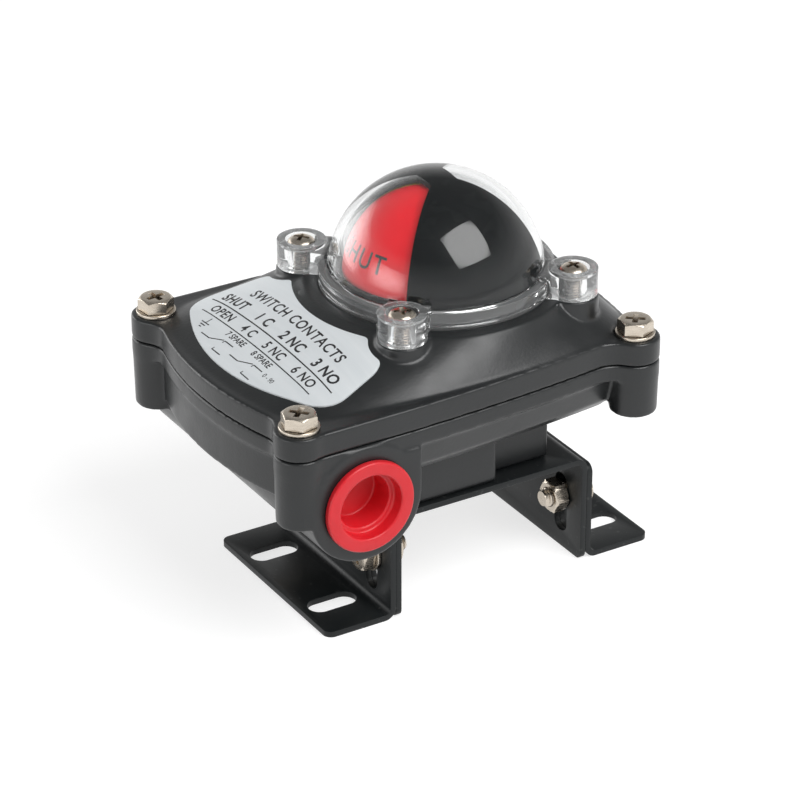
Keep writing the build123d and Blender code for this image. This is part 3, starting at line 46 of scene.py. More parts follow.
# ---------------------------------------------------------------- camera
azimuth = math.radians(31.18)
elevation = math.radians(27.8)
camera_distance = 0.9173
view_back = Vector((-math.sin(azimuth) * math.cos(elevation),
                    -math.cos(azimuth) * math.cos(elevation), math.sin(elevation)))
view_right = Vector((math.cos(azimuth), -math.sin(azimuth), 0.0))
view_up = view_back.cross(view_right)
aim_height, aim_left, aim_down = 0.050, 0.00913, 0.00719
look_at = Vector((0.0, 0.0, aim_height)) - view_right * aim_left - view_up * aim_down
camera_data = bpy.data.cameras.new("camera")
camera_data.lens = 161.1
camera_data.sensor_width = 36.0
camera = bpy.data.objects.new("camera", camera_data)
scene.collection.objects.link(camera)
camera.matrix_world = Matrix.Translation(look_at + view_back * camera_distance) @ Matrix(
    (view_right, view_up, view_back)).transposed().to_4x4()
scene.camera = camera
scene.view_settings.view_transform = "Standard"


# ---------------------------------------------------------------- node and colour helpers
# A Mix node has several inputs called A and B, so its colour inputs go by number.
SHARE, FIRST, SECOND = 0, 6, 7


def colour(code):
    """An sRGB hex value as linear light, with full alpha."""
    parts = [int(code[i:i + 2], 16) / 255 for i in (1, 3, 5)]
    return tuple(c / 12.92 if c <= 0.04045 else ((c + 0.055) / 1.055) ** 2.4 for c in parts) + (1.0,)


def node(tree, kind, inputs=None, **settings):
    """Adds one node; an input is a plain value or another node's output."""
    made = tree.nodes.new(kind)
    for name, value in settings.items():
        setattr(made, name, value)
    for key, value in (inputs or {}).items():
        if isinstance(value, bpy.types.NodeSocket):
            tree.links.new(value, made.inputs[key])
        else:
            made.inputs[key].default_value = value
    return made


def start_material(name, **shader):
    """A material with one Principled shader, its plain values, and Object coordinates."""
    made = bpy.data.materials.new(name)
    made.use_nodes = True
    tree = made.node_tree
    tree.nodes.clear()
    surface = node(tree, "ShaderNodeBsdfPrincipled",
                   {key.replace("_", " "): value for key, value in shader.items()})
    node(tree, "ShaderNodeOutputMaterial", {"Surface": surface.outputs[0]})
    place = node(tree, "ShaderNodeTexCoord").outputs["Object"]
    return made, tree, surface, place


def link(tree, output, shader, key):
    tree.links.new(output, shader.inputs[key])


def surface_detail(tree, surface, place, tones, tone_mm, rough, rough_mm, grain_mm, grain_depth_mm,
                   stretch=(1.0, 1.0, 1.0)):
    """Colour variation, uneven gloss and fine relief, each at its own size in millimetres."""
    placed = node(tree, "ShaderNodeMapping", {"Vector": place, "Scale": stretch}).outputs[0]
    cloud = node(tree, "ShaderNodeTexNoise", {"Vector": placed, "Scale": 1000 / tone_mm, "Detail": 4.0})
    tone = node(tree, "ShaderNodeMix",
                {SHARE: cloud.outputs[0], FIRST: colour(tones[0]), SECOND: colour(tones[1])},
                data_type="RGBA")
    link(tree, tone.outputs[2], surface, "Base Color")
    wipe = node(tree, "ShaderNodeTexNoise", {"Vector": placed, "Scale": 1000 / rough_mm, "Detail": 3.0})
    gloss = node(tree, "ShaderNodeMapRange",
                 {"Value": wipe.outputs[0], "From Min": 0.3, "From Max": 0.7,
                  "To Min": rough[0], "To Max": rough[1]})
    link(tree, gloss.outputs[0], surface, "Roughness")
    grain = node(tree, "ShaderNodeTexNoise", {"Vector": placed, "Scale": 1000 / grain_mm, "Detail": 3.0})
    relief = node(tree, "ShaderNodeBump", {"Height": grain.outputs[0], "Distance": grain_depth_mm * MM,
                                           "Strength": 1.0})
    link(tree, relief.outputs[0], surface, "Normal")
    return tone.outputs[2]


# ---------------------------------------------------------------- materials
# Satin black polyester powder coat on die-cast aluminium: a fine orange peel about 0.8 mm
# across, and edges that show a little paler where the coat is thin.
powder_coat, tree, surface, place = start_material("powder_coated_die_cast_aluminium", IOR=1.5)
tone = surface_detail(tree, surface, place, tones=("#181A1B", "#222425"), tone_mm=22.0,
                      rough=(0.28, 0.40), rough_mm=9.0, grain_mm=0.8, grain_depth_mm=0.03)
edge = node(tree, "ShaderNodeMapRange",
            {"Value": node(tree, "ShaderNodeNewGeometry").outputs["Pointiness"],
             "From Min": 0.54, "From Max": 0.66, "To Min": 0.0, "To Max": 0.3})
worn = node(tree, "ShaderNodeMix", {SHARE: edge.outputs[0], FIRST: tone, SECOND: colour("#3C3C3B")},
            data_type="RGBA")
link(tree, worn.outputs[2], surface, "Base Color")

# Black epoxy coat on folded steel sheet: smoother than the castings, with fine dust specks.
bracket_coat, tree, surface, place = start_material("black_coated_steel_sheet", IOR=1.5,
                                                      Specular_IOR_Level=0.3)
tone = surface_detail(tree, surface, place, tones=("#151819", "#1E2122"), tone_mm=14.0,
                      rough=(0.33, 0.42), rough_mm=7.0, grain_mm=0.5, grain_depth_mm=0.012)
speck = node(tree, "ShaderNodeTexNoise", {"Vector": place, "Scale": 1000 / 1.1, "Detail": 0.0})
dusty = node(tree, "ShaderNodeMapRange",
             {"Value": speck.outputs[0], "From Min": 0.76, "From Max": 0.82,
              "To Min": 0.0, "To Max": 0.3})
dusted = node(tree, "ShaderNodeMix", {SHARE: dusty.outputs[0], FIRST: tone, SECOND: colour("#4E4F4E")},
              data_type="RGBA")
link(tree, dusted.outputs[2], surface, "Base Color")

# Rolled and turned stainless steel: warm grey, with short tool marks, and painted shade that darkens its
# recesses toward brown.
stainless, tree, surface, place = start_material("turned_stainless_steel", Metallic=1.0)
tone = surface_detail(tree, surface, place, tones=("#B9AFA1", "#DAD0C2"), tone_mm=3.0,
                      rough=(0.20, 0.34), rough_mm=2.0, grain_mm=0.5, grain_depth_mm=0.004,
                      stretch=(1.0, 1.0, 5.0))
# Painted shade: where ambient occlusion finds a recess, the colour is pulled toward dark brown.
crevice = node(tree, "ShaderNodeAmbientOcclusion", {"Distance": 1.6 * MM}, samples=8)
recess_shade = node(tree, "ShaderNodeMapRange",
             {"Value": crevice.outputs["AO"], "From Min": 0.2, "From Max": 0.62,
              "To Min": 0.85, "To Max": 0.0})
shaded_in_recesses = node(tree, "ShaderNodeMix", {SHARE: recess_shade.outputs[0], FIRST: tone, SECOND: colour("#43362C")},
              data_type="RGBA")
link(tree, shaded_in_recesses.outputs[2], surface, "Base Color")

# Oiled spring steel wire and circlips: dark, smooth and slightly blue.
spring_steel, tree, surface, place = start_material("oiled_spring_steel", Metallic=1.0)
surface_detail(tree, surface, place, tones=("#5C5E61", "#74767A"), tone_mm=4.0,
               rough=(0.26, 0.40), rough_mm=2.0, grain_mm=0.3, grain_depth_mm=0.004)

# Zinc-plated strip: pale grey with a faint mottled bloom.
zinc_steel, tree, surface, place = start_material("zinc_plated_sheet", Metallic=1.0)
surface_detail(tree, surface, place, tones=("#A9ACB0", "#C8CACC"), tone_mm=5.0,
               rough=(0.28, 0.45), rough_mm=3.0, grain_mm=0.5, grain_depth_mm=0.005)

# Moulded nitrile rubber: matt, deep black, with a soft bloom.
black_rubber, tree, surface, place = start_material("moulded_nitrile_rubber", IOR=1.52)
surface_detail(tree, surface, place, tones=("#101010", "#1A1A1A"), tone_mm=6.0,
               rough=(0.62, 0.78), rough_mm=4.0, grain_mm=0.4, grain_depth_mm=0.010)

# Glossy black polystyrene moulding: near mirror finish with very light swirls.
black_plastic, tree, surface, place = start_material("gloss_black_moulding", IOR=1.55)
surface_detail(tree, surface, place, tones=("#0B0C0D", "#111213"), tone_mm=9.0,
               rough=(0.16, 0.24), rough_mm=5.0, grain_mm=0.6, grain_depth_mm=0.003)

# The mask's black moulding where it is fused to the clear dome: there is no air behind the clear
# skin, so the joint itself hardly mirrors anything.
mask_lining, tree, surface, place = start_material("black_moulding_under_clear_skin", IOR=1.5,
                                                   Specular_IOR_Level=0.06)
surface_detail(tree, surface, place, tones=("#0D0F10", "#141718"), tone_mm=9.0,
               rough=(0.22, 0.30), rough_mm=5.0, grain_mm=0.6, grain_depth_mm=0.002)

# Injection-moulded red polyethylene: saturated, slightly waxy, with a fine moulding grain.
red_plastic, tree, surface, place = start_material(
    "moulded_red_polyethylene", IOR=1.5, Subsurface_Weight=0.12, Subsurface_Radius=(0.0016, 0.0004, 0.0003))
surface_detail(tree, surface, place, tones=("#CC1620", "#DC2631"), tone_mm=7.0,
               rough=(0.30, 0.42), rough_mm=3.0, grain_mm=0.45, grain_depth_mm=0.008)

# Red lacquer on the drum's shut quadrants: a slightly darker copy of the plug's red, as painted shade that
# holds back the strong light reaching the drum under the clear dome, and satin there.
drum_red_shaded, tree, surface, place = start_material("red_lacquered_drum", IOR=1.5, Specular_IOR_Level=0.2)
surface_detail(tree, surface, place, tones=("#C9121D", "#D81C27"), tone_mm=8.0,
               rough=(0.34, 0.46), rough_mm=3.0, grain_mm=0.45, grain_depth_mm=0.005)

# Moulded yellow plastic of the drum's open quadrants.
yellow_plastic, tree, surface, place = start_material("moulded_yellow_plastic", IOR=1.5)
surface_detail(tree, surface, place, tones=("#E5B210", "#F2C21C"), tone_mm=8.0,
               rough=(0.30, 0.40), rough_mm=4.0, grain_mm=0.5, grain_depth_mm=0.006)

# Natural nylon of the cams and rollers: creamy and slightly translucent.
ivory_plastic, tree, surface, place = start_material(
    "natural_nylon", IOR=1.53, Subsurface_Weight=0.2, Subsurface_Radius=(0.002, 0.0015, 0.001))
surface_detail(tree, surface, place, tones=("#CFC9B4", "#DDD8C6"), tone_mm=5.0,
               rough=(0.38, 0.50), rough_mm=3.0, grain_mm=0.4, grain_depth_mm=0.006)

# Sintered bronze: dull brown gold with open pores about 0.25 mm across.
bronze, tree, surface, place = start_material("sintered_bronze", Metallic=1.0)
surface_detail(tree, surface, place, tones=("#8A6A3E", "#A88450"), tone_mm=2.0,
               rough=(0.38, 0.52), rough_mm=1.5, grain_mm=0.25, grain_depth_mm=0.015)

# Turned brass of the terminal clamps.
brass, tree, surface, place = start_material("turned_brass", Metallic=1.0)
surface_detail(tree, surface, place, tones=("#C2A052", "#D9B968"), tone_mm=3.0,
               rough=(0.22, 0.36), rough_mm=2.0, grain_mm=0.3, grain_depth_mm=0.005)

# Brushed silver polyester label: pale, with a very fine straight brushing along its length.
label_foil, tree, surface, place = start_material("brushed_silver_label_film", Metallic=0.25)
surface_detail(tree, surface, place, tones=("#D5DBDE", "#E6EAEC"), tone_mm=16.0,
               rough=(0.30, 0.38), rough_mm=6.0, grain_mm=0.5, grain_depth_mm=0.004,
               stretch=(8.0, 0.5, 1.0))

# Screen-printed black ink, matt, with a slightly uneven density.
ink, tree, surface, place = start_material("screen_printed_black_ink", IOR=1.45)
surface_detail(tree, surface, place, tones=("#161617", "#262628"), tone_mm=1.6,
               rough=(0.45, 0.60), rough_mm=1.0, grain_mm=0.2, grain_depth_mm=0.003)

# Clear polished polycarbonate: lamps reach what is shut inside it.
clear_plastic, tree, surface, place = start_material(
    "clear_polished_polycarbonate", Base_Color=(0.975, 0.985, 0.985, 1.0), IOR=1.50,
    Transmission_Weight=1.0)
haze = node(tree, "ShaderNodeTexNoise", {"Vector": place, "Scale": 1000 / 12.0, "Detail": 2.0})
polish = node(tree, "ShaderNodeMapRange",
              {"Value": haze.outputs[0], "From Min": 0.3, "From Max": 0.7,
               "To Min": 0.0, "To Max": 0.035})
link(tree, polish.outputs[0], surface, "Roughness")
lamp_path = node(tree, "ShaderNodeLightPath")
# The ring and lugs outside the dome's shell are thicker and let a little less light through.
clear_r, rim_r = 27.7, 28.4
across = node(tree, "ShaderNodeVectorMath", {0: place, 1: (1.0, 1.0, 0.0)}, operation="MULTIPLY")
radius = node(tree, "ShaderNodeVectorMath", {0: across.outputs[0]}, operation="LENGTH")
rim = node(tree, "ShaderNodeMapRange",
           {"Value": radius.outputs["Value"], "From Min": clear_r * MM, "From Max": rim_r * MM,
            "To Min": 1.0, "To Max": 0.90})
link(tree, rim.outputs[0], surface, "Transmission Weight")
let_through = node(tree, "ShaderNodeBsdfTransparent", {"Color": (0.93, 0.94, 0.94, 1.0)})
clear_mix = node(tree, "ShaderNodeMixShader", {0: lamp_path.outputs["Is Shadow Ray"], 1: surface.outputs[0],
                                               2: let_through.outputs[0]})
link(tree, clear_mix.outputs[0], next(n for n in tree.nodes if n.type == "OUTPUT_MATERIAL"), "Surface")

finishes = {"powder_coat": powder_coat, "bracket_coat": bracket_coat, "stainless": stainless,
            "spring_steel": spring_steel, "zinc_steel": zinc_steel, "black_rubber": black_rubber,
            "clear_plastic": clear_plastic, "black_plastic": black_plastic, "label_foil": label_foil,
            "bronze": bronze, "brass": brass, "red_plastic": red_plastic,
            "yellow_plastic": yellow_plastic, "ivory_plastic": ivory_plastic}
slot_of = {}
for cad_name, cad_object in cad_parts.items():
    for slot in cad_object.material_slots:
        known = slot.material.name.split(".")[0]
        slot_of[cad_name] = known
        slot.material = finishes[known]
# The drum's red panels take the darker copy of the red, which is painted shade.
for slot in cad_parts["indicator_red_panels"].material_slots:
    slot.material = drum_red_shaded


# ---------------------------------------------------------------- mesh helpers
WELD = 0.5e-6  # half a micrometre: corners nearer than this are one corner


def new_object(name, mesh, *materials):
    made = bpy.data.objects.new(name, mesh)
    scene.collection.objects.link(made)
    for material in materials:
        mesh.materials.append(material)
    return made


def merged_copy(name, cad_name):
    """A copy of a CAD mesh with its loose triangles joined."""
    work = bmesh.new()
    work.from_mesh(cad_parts[cad_name].data)
    bmesh.ops.remove_doubles(work, verts=work.verts, dist=WELD)
    for face in work.faces:
        face.material_index = 0
    mesh = bpy.data.meshes.new(name)
    work.to_mesh(mesh)
    work.free()
    return new_object(name, mesh, finishes[slot_of[cad_name]])


def modifier(made, kind, **settings):
    added = made.modifiers.new(kind.lower(), kind)
    for key, value in settings.items():
        setattr(added, key, value)
    return added


def bake(made):
    """Turns the evaluated object into a plain mesh and clears its modifiers."""
    evaluated = made.evaluated_get(bpy.context.evaluated_depsgraph_get())
    mesh = bpy.data.meshes.new_from_object(evaluated)
    made.modifiers.clear()
    made.data = mesh
    return made


def smooth_by_angle(mesh, degrees):
    work = bmesh.new()
    work.from_mesh(mesh)
    for face in work.faces:
        face.smooth = True
    for one_edge in work.edges:
        if len(one_edge.link_faces) == 2:
            one_edge.smooth = one_edge.calc_face_angle(0.0) < math.radians(degrees)
    work.to_mesh(mesh)
    work.free()


def eased(name, cad_name, edge_mm, segments=3):
    """A CAD solid with every sharp edge rounded."""
    made = merged_copy(name, cad_name)
    work = bmesh.new()
    work.from_mesh(made.data)
    bmesh.ops.dissolve_limit(work, angle_limit=math.radians(0.6), verts=work.verts, edges=work.edges)
    work.to_mesh(made.data)
    work.free()
    modifier(made, "BEVEL", width=edge_mm * MM, segments=segments, limit_method="ANGLE",
             angle_limit=math.radians(38.0), use_clamp_overlap=True, miter_outer="MITER_ARC")
    bake(made)
    smooth_by_angle(made.data, 30.0)
    return made


def cast(name, cad_name, grain_mm, passes, share):
    """A CAD solid with the soft edges and inside corners of a casting."""
    made = merged_copy(name, cad_name)
    modifier(made, "REMESH", mode="VOXEL", voxel_size=grain_mm * MM, use_smooth_shade=True)
    modifier(made, "SMOOTH", factor=0.5, iterations=passes)
    bake(made)
    modifier(made, "DECIMATE", ratio=share)
    bake(made)
    smooth_by_angle(made.data, 60.0)
    return made


def place_piece(made, body, slot, *replaced):
    if replaced:
        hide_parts(*replaced)
    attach(made, body)
    return made


# ---------------------------------------------------------------- castings
cover = cast("cover_casting", "cover", grain_mm=0.4, passes=18, share=0.20)
place_piece(cover, "box", "powder_coat", "cover")
housing = cast("housing_casting", "housing", grain_mm=0.36, passes=24, share=0.16)
place_piece(housing, "box", "powder_coat", "housing")

# ---------------------------------------------------------------- bracket
for cad_name, body in (("bracket_bridge", "box"), ("foot_left", "feet"), ("foot_right", "feet")):
    place_piece(eased(cad_name + "_folded", cad_name, edge_mm=0.3), body, "bracket_coat", cad_name)

# ---------------------------------------------------------------- plug, mask and dome
dome_centre = Vector((0, 0, 78.2 * MM))
# Radii in millimetres about the dome's centre: the mask as built and as fused to the dome, what
# counts as its outer face, and the drum.
mask_r, mask_fused_r, mask_outer_face_r, drum_r = 25.75, 25.83, 25.4, 23.85

plug = eased("conduit_plug_moulded", "conduit_plug", edge_mm=0.6, segments=4)
place_piece(plug, "box", "red_plastic", "conduit_plug")
mask = eased("indicator_mask_moulded", "indicator_mask", edge_mm=0.15, segments=2)
# The mask lines the clear dome: its outer face is moulded against it, with no air between.
for v in mask.data.vertices:
    if (v.co - dome_centre).length > mask_outer_face_r * MM and v.co.z > dome_centre.z:
        v.co = dome_centre + (v.co - dome_centre) * (mask_fused_r / mask_r)
mask.data.materials[0] = mask_lining
place_piece(mask, "box", "black_plastic", "indicator_mask")
dome = eased("clear_dome_moulded", "clear_dome", edge_mm=0.7, segments=4)
place_piece(dome, "box", "clear_plastic", "clear_dome")


# ---------------------------------------------------------------- fasteners
# Sizes in millimetres of the M5 and M4 screws, the M5 nut and its washer.
m5_r, m5_pitch, m5_head, m5_flats = 2.5, 0.8, 3.4, 8.0
m4_r, m4_pitch, m4_head, m4_head_r = 2.0, 0.7, 2.4, 3.6
nut_height, nut_bore_r, nut_mouth_r, nut_mouth = 4.0, 2.45, 2.75, 0.3
nut_gap = 0.04  # keeps the nuts just off the plate that slides past them
washer_hole_r, washer_r, washer_edge_r = 2.75, 5.1, 0.18


def lathe(name, rings, sides=72, hollow=False):
    """Turns rings of (height, radius, across flats or None), in millimetres, into a closed solid."""
    work = bmesh.new()
    loops = []
    for height, radius, flats in rings:
        loop = []
        for step in range(sides):
            angle = 2 * math.pi * step / sides
            fold = (angle + math.pi / 6) % (math.pi / 3) - math.pi / 6
            r = min(radius, flats / 2 / math.cos(fold)) if flats else radius
            loop.append(work.verts.new((r * MM * math.cos(angle), r * MM * math.sin(angle), height * MM)))
        loops.append(loop)
    pairs = list(zip(loops, loops[1:])) + ([(loops[-1], loops[0])] if hollow else [])
    for lower, upper in pairs:
        for step in range(sides):
            after = (step + 1) % sides
            work.faces.new((lower[step], lower[after], upper[after], upper[step]))
    if not hollow:
        work.faces.new(loops[0][::-1])
        work.faces.new(loops[-1])
    bmesh.ops.recalc_face_normals(work, faces=work.faces)
    mesh = bpy.data.meshes.new(name)
    work.to_mesh(mesh)
    work.free()
    return new_object(name, mesh)


def thread(length, radius, pitch):
    """Rings of a cut thread, from its tip up to just under the head."""
    tip_taper, tip_length, root_depth, neck = 0.5, 0.4, 0.38, 0.3
    rings = [(-length, radius - tip_taper, None)]
    for turn in range(int(length / pitch) - 1):
        low = -length + tip_length + turn * pitch
        rings += [(low, radius - root_depth, None), (low + pitch / 2, radius, None)]
    return rings + [(-neck, radius, None)]


def cross_recess(unit, top, length, width, depth):
    """Sinks a cross into a screw's head, narrower at its bottom than at its mouth."""
    mouth_share, bottom_length_share, bottom_width_share, past_top = 1.15, 0.8, 0.75, 0.2
    for turn in (0, math.pi / 2):
        work = bmesh.new()
        bmesh.ops.create_cube(work, size=1.0)
        for v in work.verts:
            bottom = v.co.z < 0
            x = v.co.x * length * (bottom_length_share if bottom else mouth_share)
            y = v.co.y * width * (bottom_width_share if bottom else mouth_share)
            v.co = Vector((x * math.cos(turn) - y * math.sin(turn), x * math.sin(turn) + y * math.cos(turn),
                           top - depth if bottom else top + past_top)) * MM
        mesh = bpy.data.meshes.new("recess")
        work.to_mesh(mesh)
        work.free()
        cutter = new_object("recess", mesh)
        modifier(unit, "BOOLEAN", object=cutter, operation="DIFFERENCE", solver="EXACT")
        bake(unit)
        bpy.data.objects.remove(cutter)


def hex_screw(name, length, head, flats):
    """M5 hexagon head with a chamfered crown and a cross recess, on a threaded shank."""
    chamfer, chamfer_step, chamfer_slope = 1.1, 0.12, 1.5
    crown = [(head - chamfer + chamfer_step * step,
              flats * 0.47 + (chamfer - chamfer_step * step) * chamfer_slope, flats) for step in range(10)]
    under_head = [(0.0, m5_r, None), (0.0, flats * 0.49, flats), (0.15, flats, flats)]
    top = [(head, flats * 0.46, None), (head, flats * 0.30, None)]
    unit = lathe(name, thread(length, m5_r, m5_pitch) + under_head + crown + top)
    cross_recess(unit, head, length=flats * 0.56, width=1.25, depth=1.9)
    return unit


def pan_screw(name, length, head, head_r):
    """M4 domed pan head with a cross recess, on a threaded shank."""
    side, roundness = 0.25, 0.8
    dome_rings = [(head * side + head * (1 - side) * math.sin(a), head_r * math.cos(a) ** roundness, None)
                  for a in [math.radians(step) for step in range(0, 80, 8)]]
    under_head = [(0.0, m4_r, None), (0.0, head_r, None)]
    unit = lathe(name, thread(length, m4_r, m4_pitch) + under_head + dome_rings)
    cross_recess(unit, head, length=head_r * 1.1, width=0.95, depth=1.5)
    return unit


def nut(name, height, flats):
    """Hexagon nut, chamfered on both faces."""
    edge = [(0.0, flats * 0.47), (0.25, flats * 0.52), (0.5, flats)]
    rings = [(z, r, flats) for z, r in edge] + [(height - z, r, flats) for z, r in reversed(edge)]
    bore = [(height, nut_mouth_r, None), (height - nut_mouth, nut_bore_r, None),
            (nut_mouth, nut_bore_r, None), (0.0, nut_mouth_r, None)]
    return lathe(name, rings + bore, hollow=True)


def fastener_tree():
    """Sets one fastener at every point, along the point's axis, each turned by a seeded angle."""
    tree = bpy.data.node_groups.new("fastener_row", "GeometryNodeTree")
    face = tree.interface
    face.new_socket("Points", in_out="INPUT", socket_type="NodeSocketGeometry")
    face.new_socket("Fastener", in_out="INPUT", socket_type="NodeSocketObject")
    face.new_socket("Most Turn", in_out="INPUT", socket_type="NodeSocketFloat")
    face.new_socket("Size", in_out="INPUT", socket_type="NodeSocketFloat")
    face.new_socket("Seed", in_out="INPUT", socket_type="NodeSocketInt")
    face.new_socket("Finish", in_out="INPUT", socket_type="NodeSocketMaterial")
    face.new_socket("Geometry", in_out="OUTPUT", socket_type="NodeSocketGeometry")
    given = node(tree, "NodeGroupInput").outputs
    axis = node(tree, "GeometryNodeInputNamedAttribute", {"Name": "axis"}, data_type="FLOAT_VECTOR")
    upright = node(tree, "FunctionNodeAlignRotationToVector", {"Vector": axis.outputs[0]}, axis="Z")
    turn = node(tree, "FunctionNodeRandomValue", {2: 0.0, 3: given["Most Turn"], "Seed": given["Seed"]},
                data_type="FLOAT")
    about = node(tree, "ShaderNodeCombineXYZ", {2: turn.outputs[1]})
    spun = node(tree, "FunctionNodeRotateRotation", {"Rotation": upright.outputs[0],
                                                     "Rotate By": about.outputs[0]}, rotation_space="LOCAL")
    unit = node(tree, "GeometryNodeObjectInfo", {"Object": given["Fastener"]})
    row = node(tree, "GeometryNodeInstanceOnPoints",
               {"Points": given["Points"], "Instance": unit.outputs["Geometry"],
                "Rotation": spun.outputs[0], "Scale": given["Size"]})
    real = node(tree, "GeometryNodeRealizeInstances", {"Geometry": row.outputs[0]})
    painted = node(tree, "GeometryNodeSetMaterial",
                   {"Geometry": real.outputs[0], "Material": given["Finish"]})
    node(tree, "NodeGroupOutput", {"Geometry": painted.outputs[0]})
    return tree


def washer_tree():
    """Sets a flat washer with rounded edges at every point, across the point's axis."""
    tree = bpy.data.node_groups.new("washer_row", "GeometryNodeTree")
    face = tree.interface
    face.new_socket("Points", in_out="INPUT", socket_type="NodeSocketGeometry")
    for name in ("Hole Radius", "Outer Radius", "Thickness", "Edge Radius"):
        face.new_socket(name, in_out="INPUT", socket_type="NodeSocketFloat")
    face.new_socket("Finish", in_out="INPUT", socket_type="NodeSocketMaterial")
    face.new_socket("Geometry", in_out="OUTPUT", socket_type="NodeSocketGeometry")
    given = node(tree, "NodeGroupInput").outputs
    axis = node(tree, "GeometryNodeInputNamedAttribute", {"Name": "axis"}, data_type="FLOAT_VECTOR")
    upright = node(tree, "FunctionNodeAlignRotationToVector", {"Vector": axis.outputs[0]}, axis="Z")
    both = node(tree, "ShaderNodeMath", {0: given["Hole Radius"], 1: given["Outer Radius"]}, operation="ADD")
    middle = node(tree, "ShaderNodeMath", {0: both.outputs[0], 1: 2.0}, operation="DIVIDE")
    width = node(tree, "ShaderNodeMath", {0: given["Outer Radius"], 1: given["Hole Radius"]},
                 operation="SUBTRACT")
    ring = node(tree, "GeometryNodeCurvePrimitiveCircle", {"Resolution": 48, "Radius": middle.outputs[0]})
    section = node(tree, "GeometryNodeCurvePrimitiveQuadrilateral",
                   {"Width": width.outputs[0], "Height": given["Thickness"]})
    rounded = node(tree, "GeometryNodeFilletCurve",
                   {"Curve": section.outputs[0], "Radius": given["Edge Radius"], "Count": 3}, mode="POLY")
    washer = node(tree, "GeometryNodeCurveToMesh", {"Curve": ring.outputs[0],
                                                    "Profile Curve": rounded.outputs[0]})
    half = node(tree, "ShaderNodeMath", {0: given["Thickness"], 1: 0.5}, operation="MULTIPLY")
    lift = node(tree, "ShaderNodeCombineXYZ", {2: half.outputs[0]})
    lifted = node(tree, "GeometryNodeTransform", {"Geometry": washer.outputs[0],
                                                  "Translation": lift.outputs[0]})
    row = node(tree, "GeometryNodeInstanceOnPoints",
               {"Points": given["Points"], "Instance": lifted.outputs[0], "Rotation": upright.outputs[0]})
    real = node(tree, "GeometryNodeRealizeInstances", {"Geometry": row.outputs[0]})
    painted = node(tree, "GeometryNodeSetMaterial",
                   {"Geometry": real.outputs[0], "Material": given["Finish"]})
    node(tree, "NodeGroupOutput", {"Geometry": painted.outputs[0]})
    return tree


def grow(name, tree, points, inputs):
    """Runs a tree on points given as (place, axis) and keeps the result as a plain mesh."""
    mesh = bpy.data.meshes.new(name)
    mesh.from_pydata([p for p, _ in points], [], [])
    stored = mesh.attributes.new("axis", "FLOAT_VECTOR", "POINT")
    for index, (_, axis) in enumerate(points):
        stored.data[index].vector = axis
    made = new_object(name, mesh)
    added = modifier(made, "NODES", node_group=tree)
    sockets = {item.name: item.identifier for item in tree.interface.items_tree if item.in_out == "INPUT"}
    for key, value in inputs.items():
        added[sockets[key]] = value
    bake(made)
    work = bmesh.new()
    work.from_mesh(made.data)
    bmesh.ops.recalc_face_normals(work, faces=work.faces)
    work.to_mesh(made.data)
    work.free()
    smooth_by_angle(made.data, 30.0)
    return made


def islands(cad_name, axis_of):
    """The outer end, axis and length of each solid in a CAD row, from the mesh's loose parts."""
    work = bmesh.new()
    work.from_mesh(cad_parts[cad_name].data)
    bmesh.ops.remove_doubles(work, verts=work.verts, dist=WELD)
    left, found = set(work.verts), []
    while left:
        stack = [left.pop()]
        group = list(stack)
        while stack:
            for one_edge in stack.pop().link_edges:
                for v in one_edge.verts:
                    if v in left:
                        left.remove(v)
                        stack.append(v)
                        group.append(v)
        low = Vector(map(min, *[v.co for v in group]))
        high = Vector(map(max, *[v.co for v in group]))
        centre, axis = (low + high) / 2, axis_of((low + high) / 2)
        length = abs((high - low).dot(axis))
        found.append((centre + axis * length / 2, axis, length))
    work.free()
    return sorted(found, key=lambda item: tuple(item[0]))


def up(_):
    return Vector((0, 0, 1))


def down(_):
    return Vector((0, 0, -1))


def outward(centre):
    return Vector((math.copysign(1, centre.x), 0, 0))


def inward(centre):
    return Vector((-math.copysign(1, centre.x), 0, 0))


screw_tree, ring_tree = fastener_tree(), washer_tree()
for cad_name, body, axis_of, kind, most_turn, seed in (
        ("cover_bolts", "box", up, "hex", 1.05, 4), ("dome_screws", "box", up, "pan", 1.57, 7),
        ("foot_bolts", "feet", outward, "hex", 1.05, 2), ("foot_nuts", "feet", inward, "nut", 1.05, 9),
        ("base_screws", "box", down, "hex", 1.05, 5)):
    spots = islands(cad_name, axis_of)
    length = spots[0][2] / MM
    if kind == "hex":
        unit, head = hex_screw(cad_name + "_unit", length - m5_head, m5_head, m5_flats), m5_head
    elif kind == "pan":
        unit, head = pan_screw(cad_name + "_unit", length - m4_head, m4_head, m4_head_r), m4_head
    else:
        unit, head = nut(cad_name + "_unit", nut_height, m5_flats), nut_height - nut_gap
    row = grow(cad_name + "_turned", screw_tree, [(end - axis * head * MM, axis) for end, axis, _ in spots],
               {"Fastener": unit, "Most Turn": most_turn, "Size": 1.0, "Seed": seed, "Finish": stainless})
    bpy.data.objects.remove(unit)
    place_piece(row, body, "stainless", cad_name)
for cad_name, body, axis_of in (("cover_washers", "box", up), ("foot_washers", "feet", outward)):
    spots = islands(cad_name, axis_of)
    row = grow(cad_name + "_pressed", ring_tree, [(end - axis * height, axis) for end, axis, height in spots],
               {"Hole Radius": washer_hole_r * MM, "Outer Radius": washer_r * MM,
                "Thickness": spots[0][2], "Edge Radius": washer_edge_r * MM, "Finish": stainless})
    place_piece(row, body, "stainless", cad_name)


# ---------------------------------------------------------------- print on the label and the drum
INK_MM = 0.02  # thickness of the printed film


